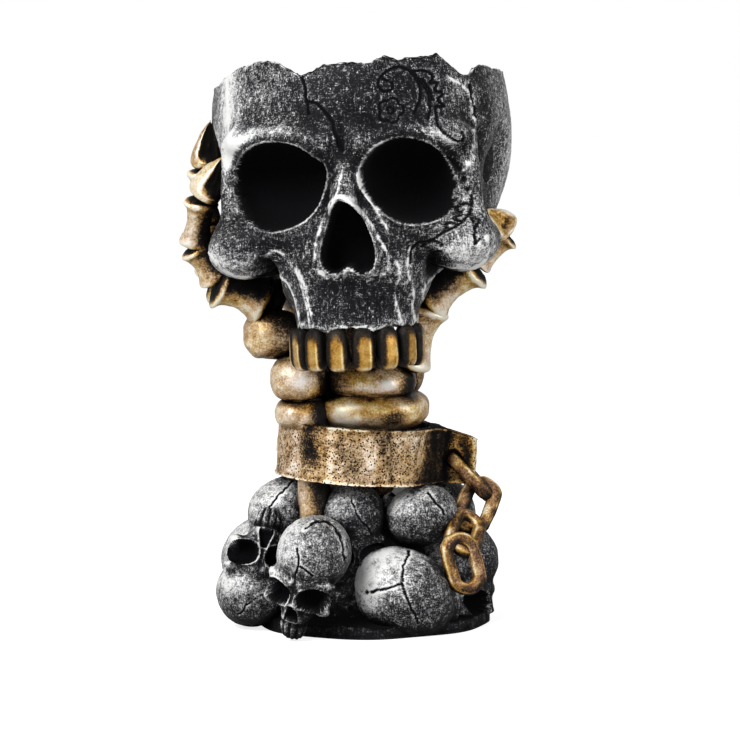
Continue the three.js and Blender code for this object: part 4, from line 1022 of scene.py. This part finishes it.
def build_wrist():
    """Pebbles between the forearm and the palm, each dented by noise."""
    h = sizes("planter_hand")
    for k, (node, (middle, reach)) in enumerate(CARPALS.items()):
        size, spot = wrist_block(middle, reach, h)
        grid = pebble(size, 0.8, 64, 96)
        dents = 0.45 * grain(grid, 6.0, 100 + k) + 0.25 * grain(grid, 2.6, 120 + k)
        dents = np.minimum(dents + 0.08 * grain(grid, 0.9, 140 + k), 0.45) - 0.5
        world = grid + normals(grid) * dents[..., None] + spot
        show(node, "antique_bronze_bone", world, *block_paint(world, 150 + k))


def bone_grid(start, end, radius, profile, flatness, seed, view):
    """A profile turned round the bone's line: two swellings at each knuckle, a flatter front and, on a claw, a
    hollow nail with a lip on the side that the view direction is nearest to. Gives the grid, the share along the
    bone, how much each point is nail and lip, and which way the front faces."""
    a, b = np.array(start, float), np.array(end, float)
    long = np.linalg.norm(b - a)
    along = (b - a) / long
    side = np.cross(along, (a + b) / 2 * [1, 1, 0])
    side /= np.linalg.norm(side)
    facing = np.cross(side, along)
    curve = smooth_curve(profile, 7)
    reach = np.cumsum(np.linalg.norm(np.diff(curve * [long, radius], axis=0), axis=1))
    reach, order = np.concatenate([[0], reach]), np.arange(len(curve))
    spread = np.interp(np.linspace(0, reach[-1], 74)[1:-1], reach, order)
    t = np.interp(spread, order, curve[:, 0])[:, None]
    turns = np.linspace(0, 2 * np.pi, 64, endpoint=False)[None]
    r = np.maximum(np.interp(spread, order, curve[:, 1]), 0.02)[:, None] * radius * np.ones_like(turns)
    nail, lip = np.zeros_like(r), np.zeros_like(r)
    if view is not None:
        off = turns - math.atan2(facing @ view, side @ view)
        off = np.abs((off + np.pi) % (2 * np.pi) - np.pi)
        nail = np.exp(-((off / 0.75) ** 4)) * climb(t, 0.2, 1 / 6) * climb(t, 0.97, -1 / 8)
        lip = bell(off, 1.0, 0.2) * climb(t, 0.16, 1 / 6)
        r = r * (1 - 0.4 * nail + 0.06 * lip)
    else:
        ends = bell(t, 0.06, 0.12) + bell(t, 0.93, 0.12)
        r = r * (1 - 0.05 * ends * (1 + np.cos(2 * turns)) - 0.05 * (1 - ends) * np.cos(3 * turns + seed))
    x, y = r * np.cos(turns), r * np.sin(turns) * flatness
    grid = a + along * (t * long)[..., None] + side * x[..., None] + facing * y[..., None]
    return grid, np.broadcast_to(t, r.shape), nail, lip, facing


def build_fingers():
    """The bones of each digit between its joints. The palm's bones are the thickest and the last is a claw."""
    s, h = sizes("planter_skull"), sizes("planter_hand")
    seed = 200
    for digit, joints in DIGITS.items():
        spots = [(x * s.half_width, y * s.half_depth, s.foot + z * s.height) for x, y, z in joints]
        thumb = digit == "thumb"
        for i in range(len(spots) - 1):
            seed += 3
            claw = i == len(spots) - 2
            node = THUMB_BONES[i] if thumb else f"{digit}_{BONES[i]}"
            radius, flatness = h.knuckle_radius, BONE_FLATNESS
            if claw:
                radius, flatness = h.claw_radius, CLAW_FLATNESS
            elif thumb and i < 2:
                radius = h.thumb_radius
            elif i == 0:
                radius, flatness = h.metacarpal_radius, PALM_FLATNESS
            view = np.array(NAIL_VIEWS.get(digit, (0, 1, 0))) if claw else None
            grid, t, nail, lip, facing = bone_grid(
                spots[i], spots[i + 1], radius, CLAW if claw else KNUCKLED, flatness, seed, view)
            dents = 0.22 * grain(grid, 3.2, seed) + 0.1 * grain(grid, 1.2, seed + 1) - (0.45 if claw else 0.22)
            grid = grid + normals(grid) * dents[..., None]
            normal = normals(grid)
            tone = painted(grid, (1.2, 1.8), seed, 0.52, scratch=0.8)
            # Painted light and shade: a bone is paler where it faces out from the skull and up, darker where it
            # turns in.
            away = facing + np.array([0, -0.1, 0.15])
            lit = normal @ (away / np.linalg.norm(away))
            edge = bell(t, 0.06, 0.06) + 0.6 * bell(t, 0.94, 0.05)
            crease = bell(t, 0, 0.03) + bell(t, 1, 0.03)
            tone += 0.6 * np.clip(lit * 1.6 - 0.25, -0.9, 0.4) + 0.1 * edge * (lit > -0.1) - 0.5 * crease
            tone -= GLOOM.get(node, 0.0) * np.clip(1.4 - lit * 1.6, 0, 1)
            warm = 0.2 + 0.7 * np.clip(-normal[..., 2], 0, 1) + 0.8 * edge + 0.4 * grain(grid, 6.0, seed + 2)
            if claw:
                # A claw's hollow is darker, and a claw that lies in shadow gets painted shadow all over.
                tone += 0.25 * lip - NAIL_DARKS.get(digit, 0.5) * nail - CLAW_SHADOWS.get(digit, 0.0)
                warm = 0.55 - 0.5 * lip + 0.5 * nail + edge
            show(node, "antique_bronze_bone", grid, tone, np.clip(warm, 0, 1))


def tower(field, axis, levels, columns, reach):
    """Rows of points at the given levels, each slid in from the outside towards an upright axis."""
    turns = (np.arange(columns) + 0.5) / columns * 2 * np.pi - np.pi
    rays = np.stack([np.sin(turns), -np.cos(turns), np.zeros_like(turns)], axis=-1)
    return cast(field, np.array([*axis, 0.0]) + np.array(levels)[:, None, None] * UP, rays, reach)


def build_forearm():
    """A round shaft blended into a squarish head, for each of the two bones."""
    h = sizes("planter_hand")
    for k, (node, (foot, middle, reach)) in enumerate(FOREARM.items()):
        size, spot = wrist_block(middle, reach, h)
        axis = np.array(foot) * h.wrist_half_width
        radii = (h.shaft_radius * 0.94, h.shaft_radius * 1.02)
        shaft = rod((*axis, h.shaft_foot - 20), (*axis, spot[2]), radii)

        def field(p, spot=spot, size=size, shaft=shaft):
            q = np.abs((p - spot) / size)
            head = (np.sum(q**2.5, axis=-1) ** 0.4 - 1) * size.min()
            return blend(shaft(p), head, 3.0)

        high = spot[2] + size[2] - 0.12
        levels = np.concatenate([np.linspace(h.shaft_foot, spot[2] - size[2] - 1, 60),
                                 spot[2] + size[2] * np.sin(np.linspace(-1.35, 1.5, 44)) * 0.99])
        levels = np.minimum(np.sort(levels), high)
        grid = tower(field, axis, levels, 96, 60)
        dents = 0.4 * grain(grid, 6.0, 300 + k) + 0.2 * grain(grid, 2.2, 310 + k)
        inner = (levels > h.shaft_foot + 0.5)[:, None] & (levels < high)[:, None]
        grid = grid + normals(grid) * np.where(inner, np.minimum(dents, 0.3) - 0.35, -0.05)[..., None]
        grid[..., 2] = np.clip(grid[..., 2], h.shaft_foot, high)
        show(node, "antique_bronze_bone", grid, *block_paint(grid, 320 + k))


# The shackle and the chain
def shackle_outline(c, steps=360):
    """The band's plan: most of a circle, then a shoulder on each side that closes in on the lug's two faces."""
    half, reach = c.lug_thickness / 2, c.lug_reach - c.shift
    neck = c.radius + c.wall / 2
    corner = math.radians(30)
    arc = np.linspace(corner, 2 * np.pi - corner, 120)
    circle = np.stack([c.radius * np.cos(arc), c.radius * np.sin(arc)], axis=-1)
    t = np.linspace(0, 1, 12)[1:, None]
    pull, close = np.array([neck, -half * 2]), np.array([neck + c.wall / 2, -half])
    low = (1 - t) ** 2 * circle[-1] + 2 * t * (1 - t) * pull + t**2 * close
    turns = np.linspace(-np.pi / 2, np.pi / 2, 16)[:, None]
    end = np.array([reach - half * 0.6, 0]) + np.concatenate([0.6 * half * np.cos(turns), half * np.sin(turns)], 1)
    plan = np.concatenate([circle, low, end, (low * [1, -1])[::-1], circle[:1]])
    along = np.concatenate([[0], np.cumsum(np.linalg.norm(np.diff(plan, axis=0), axis=1))])
    even = np.linspace(0, along[-1], steps, endpoint=False)
    return np.stack([np.interp(even, along, plan[:, k]) for k in (0, 1)], axis=-1)


def build_shackle():
    """Rows up the outer wall, over the top edge, down the bore and back under: a ring that closes both ways. The
    top slopes down along the lug, and a lip stands along the upper and lower edges."""
    c = sizes("planter_shackle")
    outer = shackle_outline(c)
    turns = np.arctan2(outer[:, 1], outer[:, 0])
    bore = np.stack([np.cos(turns), np.sin(turns)], axis=-1) * (c.radius - c.wall)
    half = c.height / 2
    inward = (bore - outer) / np.linalg.norm(bore - outer, axis=1, keepdims=True)

    def across(share):
        """The plan at a share of the way from the outer wall to the bore."""
        return outer * (1 - share)[..., None] + bore * share[..., None]

    def top(plan):
        """Level of the top edge, which slopes down along the lug."""
        return half - np.tan(c.bevel) * np.maximum(plan[..., 0] - c.radius, 0)

    def rows(plan, level):
        """Points with that plan and level."""
        shape = np.broadcast_shapes(plan.shape[:-1], level.shape)
        return np.concatenate([np.broadcast_to(plan, (*shape, 2)), np.broadcast_to(level, shape)[..., None]], -1)

    wall = np.linspace(-1, 1, 44)[:, None]
    lip = bell(np.abs(wall), 0.95, 0.05)[..., None]
    over, under = np.linspace(0, 1, 14)[1:, None], np.linspace(1, 0, 14)[:-1, None]
    down = np.linspace(1, -1, 14)[1:-1, None]
    grid = np.concatenate([
        rows(outer + inward * (0.35 - 0.35 * lip), -half + (top(outer) + half) * (wall + 1) / 2),
        rows(across(over), top(across(over)) - 0.25 * np.sin(np.pi * over)),
        rows(bore, -half + (top(bore) + half) * (down + 1) / 2),
        rows(across(under), np.full_like(under, -half)),
    ])
    normal = normals(grid, True)
    if np.sum(normal[20, :, :2] * outer) < 0:
        normal = -normal
    dents = 0.28 * grain(grid, 5.0, 401) + 0.14 * grain(grid, 1.6, 402) + 0.1 * grain(grid, 0.8, 403)
    hole = np.hypot(grid[..., 0] - (c.hole_reach - c.shift), grid[..., 2] + c.height * LUG_HOLE_DROP)
    bored = np.exp(-((hole / c.hole_radius) ** 6)) * (np.abs(grid[..., 1]) < c.lug_thickness)
    grid = grid + normal * (np.minimum(dents, 0.2) - 0.25 - bored * 1.7)[..., None]
    grid[..., 2] = np.clip(grid[..., 2], -half + 0.05, half - 0.05)
    raised = relief(grid, normal, 3, True)
    row = np.arange(len(grid))[:, None]
    edge = bell(row, 42, 1.6) + 0.5 * bell(row, 1, 1.4)
    x = grid[..., 0] + c.shift
    tone = 0.68 + np.clip(raised * 1.2, -0.4, 0.3) + 0.1 * grain(grid, 2.0, 404) + 0.14 * grain(grid, 7.0, 405)
    tone += 0.3 * edge + 0.2 * grain(grid * [1, 1, 0.12], 2.6, 407)
    for middle, reach, depth in BAND_STREAKS:
        tone -= depth * bell(x, middle, reach) * np.clip(0.7 + grain(grid, 5.0, 408), 0, 1.3)
    # Painted shade: the lug's hole, the neck before the lug and the lug's plate inside its pale edges are darker.
    # The band's inner face is darker too.
    tone -= 0.4 * ((row > 50) & (row < 71)) + 0.9 * bored
    tone -= 0.6 * np.exp(-(((x - 27.0) / 3.8) ** 4)) * (np.abs(grid[..., 1]) < 14)
    tone -= 0.24 * climb(x, 30, 1.5) * (1 - bell(x, x.max(), 1.3)) * (1 - np.clip(edge, 0, 1))
    warm = np.clip(0.2 + 0.6 * edge + 0.4 * grain(grid, 9.0, 406) + 0.5 * (x > 30), 0, 1)
    placed = grid @ leaned(c.tilt).T + np.array([c.shift, 0, c.level])
    show("wrist_shackle", "antique_bronze_shackle", placed, tone, warm, loop=True)


def standing(along, facing):
    """A turn that takes Y to the long way and Z as near as it can to the facing."""
    y = np.array(along, float) / np.linalg.norm(along)
    z = np.array(facing, float)
    z = z - y * (z @ y)
    z /= np.linalg.norm(z)
    return np.stack([np.cross(y, z), y, z], axis=1)


def build_chain():
    """Each link is a ring of wire drawn out along its own Y: round both ends, straight between them. The wire is
    rubbed pale along both edges of its front."""
    c = sizes("planter_shackle")
    hole = np.array([c.hole_reach, 0, c.level - c.height * LUG_HOLE_DROP - c.hole_reach * math.sin(c.tilt)])
    ring, straight = c.link_width / 2 - c.wire, (c.link_length - c.link_width) / 2
    u = np.linspace(0, 2 * np.pi, 120, endpoint=False)[:, None]
    v = np.linspace(0, 2 * np.pi, 32, endpoint=False)[None]
    ones = np.ones_like(u)
    normal = np.stack([np.cos(v) * np.cos(u), np.cos(v) * np.sin(u), np.sin(v) * ones], axis=-1)
    rubbed = bell(np.abs(np.cos(v)), 0.72, 0.16) * np.clip(np.sin(v) * 3 + 0.6, 0, 1) * ones
    for k, (middle, along, facing) in enumerate(CHAIN):
        wire = c.wire * (1 + 0.05 * np.sin(2 * u + k) + 0.03 * np.sin(5 * u + 2 * k))
        x = (ring + wire * np.cos(v)) * np.cos(u)
        y = (ring + wire * np.cos(v)) * np.sin(u) + straight * np.clip(np.sin(u) / 0.35, -1, 1)
        grid = np.stack([x, y, wire * np.sin(v)], axis=-1)
        dents = 0.12 * grain(grid, 2.4, 500 + k) + 0.06 * grain(grid, 0.9, 510 + k)
        grid = grid + normal * (np.minimum(dents, 0.06) - 0.1)[..., None]
        turning = standing(along, facing).T
        # Painted light and shade: the wire is paler where it faces the upper left and front, darker underneath.
        tone = np.minimum(0.2 + 0.9 * normal @ turning @ np.array(LIT_CHAIN), 0.58) + 0.2 * grain(grid, 1.8, 520 + k)
        tone += 0.56 * rubbed * np.clip(0.7 + 0.8 * grain(grid, 2.6, 540 + k), 0, 1)
        warm = np.clip(0.7 + 0.9 * grain(grid, 3.5, 530 + k) - 0.7 * rubbed, 0, 1)
        placed = grid @ turning + hole + np.array(middle) * c.link_length
        show(f"chain_link_{k + 1}", "antique_bronze_chain", placed, tone, warm, loop=True)


# The heap and the plinth
def small_skull_field():
    """A small skull in units of its half width, with brow, cheeks, nose and a row of teeth, and how far back its
    orbits and nose sink at each point."""
    crown, parts = ball(*SMALL_CROWN), forms(SMALL_RODS, SMALL_BALLS, (1, 1, 1))
    temple = mirrored(ball((1.12, -0.3, -0.9), (0.3, 0.4, 0.46)))
    notch = mirrored(ball((0.6, -0.75, -1.62), (0.2, 0.35, 0.3)))
    lean = math.radians(14)

    def openings(p):
        """Distance from the orbit's middle in its reaches, and from the nose's edge."""
        x, z = np.abs(p[..., 0]) - 0.49, p[..., 2] + 0.9
        u, v = x * math.cos(lean) + z * math.sin(lean), z * math.cos(lean) - x * math.sin(lean)
        orbit = (np.abs(u / 0.37) ** 2.4 + np.abs(v / 0.31) ** 2.4) ** (1 / 2.4)
        wide = 0.05 + 0.13 * climb(p[..., 2], -1.1, -0.42)
        return orbit, np.maximum(np.abs(p[..., 0]) - wide, np.abs(p[..., 2] + 1.36) - 0.23)

    def sink(p):
        y = p[..., 1]
        orbit, nose = openings(p)
        deep = climb(orbit, 1, -0.16) ** 0.4 * np.maximum(-0.42 - y, 0)
        deep = np.maximum(deep, np.clip(-nose / 0.04, 0, 1) ** 0.5 * np.maximum(-0.72 - y, 0))
        return np.where(y < -0.3, deep, 0)

    def field(p):
        d = crown(p)
        for part, soft in parts:
            d = blend(d, part(p), soft)
        d = carve(d, temple(p), 0.12)
        front = p[..., 1] < -0.3
        orbit, nose = openings(p)
        d = d - np.where(front, 0.05 * bell(orbit, 1.14, 0.12), 0)
        d = d - np.where(front, 0.035 * bell(nose, 0.05, 0.05), 0)
        grooves = np.abs(np.sin(np.arctan2(p[..., 0], -p[..., 1] - 0.5) * 5.2)) ** 0.5
        gums = climb(p[..., 2], -1.72, -0.06) * front
        d = d + gums * 0.07 * (1 - grooves) + 0.05 * front * bell(p[..., 2], -1.72, 0.04)
        return carve(carve(d, notch(p), 0.08), p[..., 2] + 2.25, 0.06)

    return field, sink


def wandering_line(rng):
    """Points on the unit ball: from a start near the crown, equal steps whose way drifts at random."""
    way, start = rng.normal(size=3), np.array([rng.uniform(-0.5, 0.5), rng.uniform(-1.0, 0.6), 1.0])
    spots = [start / np.linalg.norm(start)]
    for _ in range(9):
        way = way / np.linalg.norm(way) + rng.normal(size=3) * 0.2
        step = way - spots[-1] * (way @ spots[-1])
        ahead = spots[-1] + step / np.linalg.norm(step) * 0.17
        spots.append(ahead / np.linalg.norm(ahead))
    return np.array(spots)


def build_heap():
    """One small skull worked out by rays from its middle, then scaled, turned, roughened and cracked for each."""
    m = sizes("planter_heap")
    field, sink = small_skull_field()
    base = cast(field, np.array([0, -0.1, -0.45]), sphere_rays(120, 150, 0.45), 3.0)
    unit = base / np.linalg.norm(base, axis=-1, keepdims=True)
    sunk = sink(base)
    within = climb(sunk, 0.03, 0.06)
    dome, jaw = climb(base[..., 2], -0.45, 0.3), climb(base[..., 2], -1.62, -0.1)
    for k, (node, (middle, share, facing, crown)) in enumerate(HEAP.items()):
        seed = 600 + 7 * k
        scale = m.crown * share
        grid = base * scale
        normal = normals(grid)
        turning = standing(-np.array(facing), crown).T
        spot = np.array(middle) * np.array([m.half_width, m.half_depth, m.height])
        placed = grid @ turning + spot
        wiggle = 0.3 * np.stack([grain(placed, 1.3, seed + j) for j in range(3)], axis=-1)
        if node in HEAP_CRACKS:
            near = line_distance((placed + wiggle)[..., [0, 2]], [smooth_curve(c, 3) for c in HEAP_CRACKS[node]])
            near = np.where((normal @ turning)[..., 1] < 0.2, near, 9)
        else:
            near = line_distance(unit * scale + wiggle, [wandering_line(np.random.default_rng(seed)) * scale])
        cut = bell(near, 0, 0.19) * dome
        rough = 0.06 * grain(grid, 1.0, seed) + 0.12 * grain(grid, 2.8, seed + 1) + 0.2 * grain(grid, 7.0, seed + 2)
        grid = grid + normal * (rough - 0.25 - 0.4 * cut)[..., None]
        grid[..., 1] += sunk * scale
        normal = normals(grid)
        tone = 0.4 + np.clip(relief(grid, normal, 2) * 2.2, -0.4, 0.22)
        tone += np.clip(relief(grid, normal, 5) * 0.6, -0.35, 0.1)
        # Painted light and shade: each skull is paler where it faces the upper left, darker where it turns away.
        lit = np.clip(normal @ turning @ np.array(LIT_HEAP), -0.6, 1)
        tone += 0.56 * lit * np.abs(lit) + 0.06 * grain(grid, 3.0, seed + 3) + 0.1 * grain(grid, 7.5, seed + 4)
        tone += 0.1 * bell(near, 0.75, 0.3) * dome - 0.8 * cut
        # Sunk openings are painted black, and some skulls get painted shadow.
        tone = tone * (1 - within) - 0.7 * within + HEAP_SHADOWS.get(node, 0) - JAW_DARKS.get(node, 0.06) * jaw
        world = grid @ turning + spot
        tone -= 0.25 * climb(world[..., 2], 10, -10)
        world[..., 2] = np.maximum(world[..., 2], m.clearance)
        show(node, "antique_silver_heap", world, tone)


def build_plinth():
    """A slab whose edge is an ellipse with two waves in it, and a flattened dome on it that the heap leans on."""
    m = sizes("planter_heap")
    shares, levels = np.array(MOUND).T

    def field(p):
        x = (p[..., 0] - m.slab_half_width * 0.17) / m.slab_half_width
        y = (p[..., 1] - m.slab_half_depth * 0.06) / m.slab_half_depth
        angle = np.arctan2(y, x)
        waves = 1 + 0.035 * np.sin(3 * angle + 1) + 0.02 * np.sin(7 * angle)
        slab = np.maximum((np.hypot(x, y) / waves - 1) * m.slab_half_depth, p[..., 2] - m.slab_height)
        share = np.interp(p[..., 2] / m.mound_height, levels, shares)
        return blend(slab, np.hypot(p[..., 0], p[..., 1] / 0.88) - share * m.mound_half_width, 5.0)

    top = m.slab_height
    edge = top + np.array([-0.45, -0.25, -0.12, -0.04, 0.05, 0.3, 0.7])
    steps = np.concatenate([[0.0, 0.25, 0.7], np.linspace(1.2, top - 0.7, 9), edge,
                            np.linspace(top + 1.4, m.mound_height - 0.1, 60)])
    grid = tower(field, (0, 0), steps, 220, 60)
    rough = 0.35 * grain(grid, 4.0, 701) + 0.15 * grain(grid, 1.4, 702)
    free = ((steps > 0.6) & (steps < m.mound_height - 1))[:, None]
    grid = grid + normals(grid) * np.where(free, np.minimum(rough, 0.3) - 0.35, -0.1)[..., None]
    grid[..., 2] = np.clip(grid[..., 2], 0, m.mound_height)
    grid[0, :, 2] = 0
    tone = painted(grid, (1.2, 1.8), 710, 0.29, width=2) - 0.12 * climb(grid[..., 2], top, -top)
    show("plinth", "dark_plinth_paint", grid, tone)


# The stage
def white_floor():
    """White where the camera sees it, with a plain pale coat for the light and the shadows that fall on it."""
    material = bpy.data.materials.new("stage_white")
    material.use_nodes = True
    tree = material.node_tree
    tree.nodes.clear()
    join, new = tree.links.new, tree.nodes.new
    glow, coat, both = (new(f"ShaderNode{kind}") for kind in ("Emission", "BsdfDiffuse", "AddShader"))
    coat.inputs["Color"].default_value = FLOOR_COAT
    seen = Signal(tree, new("ShaderNodeLightPath").outputs["Is Camera Ray"])
    join((seen * FLOOR_GLOW).socket, glow.inputs["Strength"])
    join(glow.outputs[0], both.inputs[0])
    join(coat.outputs[0], both.inputs[1])
    join(both.outputs[0], new("ShaderNodeOutputMaterial").inputs["Surface"])
    return material


def build_stage():
    """A white floor under a white world, a strong lamp on the left, a weak one on the right, and the camera."""
    scene = bpy.context.scene
    g = scene.planter_stage

    def put(name, data):
        holder = bpy.data.objects.new(name, data)
        scene.collection.objects.link(holder)
        return holder

    mesh = bpy.data.meshes.new("stage_floor")
    corners = [(x * FLOOR_REACH, y * FLOOR_REACH, 0) for x, y in ((-1, -1), (1, -1), (1, 1), (-1, 1))]
    mesh.from_pydata(corners, [], [(0, 1, 2, 3)])
    mesh.materials.append(white_floor())
    floor = put("stage_floor", mesh)
    world = bpy.data.worlds.new("stage_world")
    world.use_nodes = True
    tree = world.node_tree
    background = tree.nodes["Background"]
    background.inputs["Color"].default_value = (1, 1, 1, 1)
    seen = Signal(tree, tree.nodes.new("ShaderNodeLightPath").outputs["Is Camera Ray"])
    tree.links.new((seen * (1 - g.world) + g.world).socket, background.inputs["Strength"])
    scene.world = world
    for name, power, spot in (("stage_key", g.key, (-0.55, -0.75, 0.75)), ("stage_fill", g.fill, (0.8, -0.6, 0.35))):
        lamp = bpy.data.lights.new(name, "AREA")
        lamp.energy = power
        lamp.size = LAMP_SIZE
        holder = put(name, lamp)
        holder.location = spot
        holder.rotation_euler = (Vector(LAMP_AIM) - Vector(spot)).to_track_quat("-Z", "Y").to_euler()
    lens = bpy.data.cameras.new("stage_camera")
    lens.sensor_fit = "VERTICAL"
    lens.sensor_height = 36
    lens.lens = g.lens
    camera = put("stage_camera", lens)
    camera.location = (g.aim_x, -g.distance * math.cos(g.elevation), g.aim_z + g.distance * math.sin(g.elevation))
    camera.rotation_euler = (math.pi / 2 - g.elevation, 0, 0)
    scene.camera = camera
    scene.view_settings.view_transform = "Standard"


# The add-on
class PLANTER_OT_skull_bowl(bpy.types.Operator):
    """Build the big skull with its sockets, cracks and scrolls"""

    bl_idname = "planter.skull_bowl"
    bl_label = "Skull bowl"

    def execute(self, context):
        build_skull_bowl()
        return {"FINISHED"}


class PLANTER_OT_teeth(bpy.types.Operator):
    """Build the eight teeth of the big skull"""

    bl_idname = "planter.teeth"
    bl_label = "Teeth"

    def execute(self, context):
        build_teeth()
        return {"FINISHED"}


class PLANTER_OT_wrist(bpy.types.Operator):
    """Build the six blocks of the wrist"""

    bl_idname = "planter.wrist"
    bl_label = "Wrist bones"

    def execute(self, context):
        build_wrist()
        return {"FINISHED"}


class PLANTER_OT_fingers(bpy.types.Operator):
    """Build the bones of the five digits"""

    bl_idname = "planter.fingers"
    bl_label = "Fingers and thumb"

    def execute(self, context):
        build_fingers()
        return {"FINISHED"}


class PLANTER_OT_forearm(bpy.types.Operator):
    """Build the radius and the ulna"""

    bl_idname = "planter.forearm"
    bl_label = "Forearm"

    def execute(self, context):
        build_forearm()
        return {"FINISHED"}


class PLANTER_OT_shackle(bpy.types.Operator):
    """Build the band round the wrist with its lug"""

    bl_idname = "planter.shackle"
    bl_label = "Shackle"

    def execute(self, context):
        build_shackle()
        return {"FINISHED"}


class PLANTER_OT_chain(bpy.types.Operator):
    """Build the four links of the chain"""

    bl_idname = "planter.chain"
    bl_label = "Chain"

    def execute(self, context):
        build_chain()
        return {"FINISHED"}


class PLANTER_OT_heap(bpy.types.Operator):
    """Build the twelve small skulls"""

    bl_idname = "planter.heap"
    bl_label = "Heap"

    def execute(self, context):
        build_heap()
        return {"FINISHED"}


class PLANTER_OT_plinth(bpy.types.Operator):
    """Build the slab and its mound"""

    bl_idname = "planter.plinth"
    bl_label = "Plinth"

    def execute(self, context):
        build_plinth()
        return {"FINISHED"}


class PLANTER_OT_stage(bpy.types.Operator):
    """Build the floor, the lamps and the camera"""

    bl_idname = "planter.stage"
    bl_label = "Stage"

    def execute(self, context):
        build_stage()
        return {"FINISHED"}


OPERATORS = [
    PLANTER_OT_skull_bowl,
    PLANTER_OT_teeth,
    PLANTER_OT_wrist,
    PLANTER_OT_fingers,
    PLANTER_OT_forearm,
    PLANTER_OT_shackle,
    PLANTER_OT_chain,
    PLANTER_OT_heap,
    PLANTER_OT_plinth,
    PLANTER_OT_stage,
]


class PLANTER_PT_sidebar(bpy.types.Panel):
    """The builders, in the order that they are run."""

    bl_idname = "PLANTER_PT_sidebar"
    bl_label = "Skull Planter"
    bl_space_type = "VIEW_3D"
    bl_region_type = "UI"
    bl_category = "Planter"

    def draw(self, context):
        for made in OPERATORS:
            self.layout.operator(made.bl_idname)


def register():
    """Registers the groups, the operators and the panel."""
    for key, group in GROUPS.items():
        bpy.utils.register_class(group)
        setattr(bpy.types.Scene, key, PointerProperty(type=group))
    for made in [*OPERATORS, PLANTER_PT_sidebar]:
        bpy.utils.register_class(made)


def unregister():
    """Takes them away again, last first."""
    for made in reversed([*OPERATORS, PLANTER_PT_sidebar]):
        bpy.utils.unregister_class(made)
    for key, group in reversed(GROUPS.items()):
        delattr(bpy.types.Scene, key)
        bpy.utils.unregister_class(group)


def main():
    """Builds every piece and the stage."""
    register()
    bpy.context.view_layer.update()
    for made in OPERATORS:
        category, name = made.bl_idname.split(".")
        getattr(getattr(bpy.ops, category), name)()


if __name__ == "__main__":
    main()
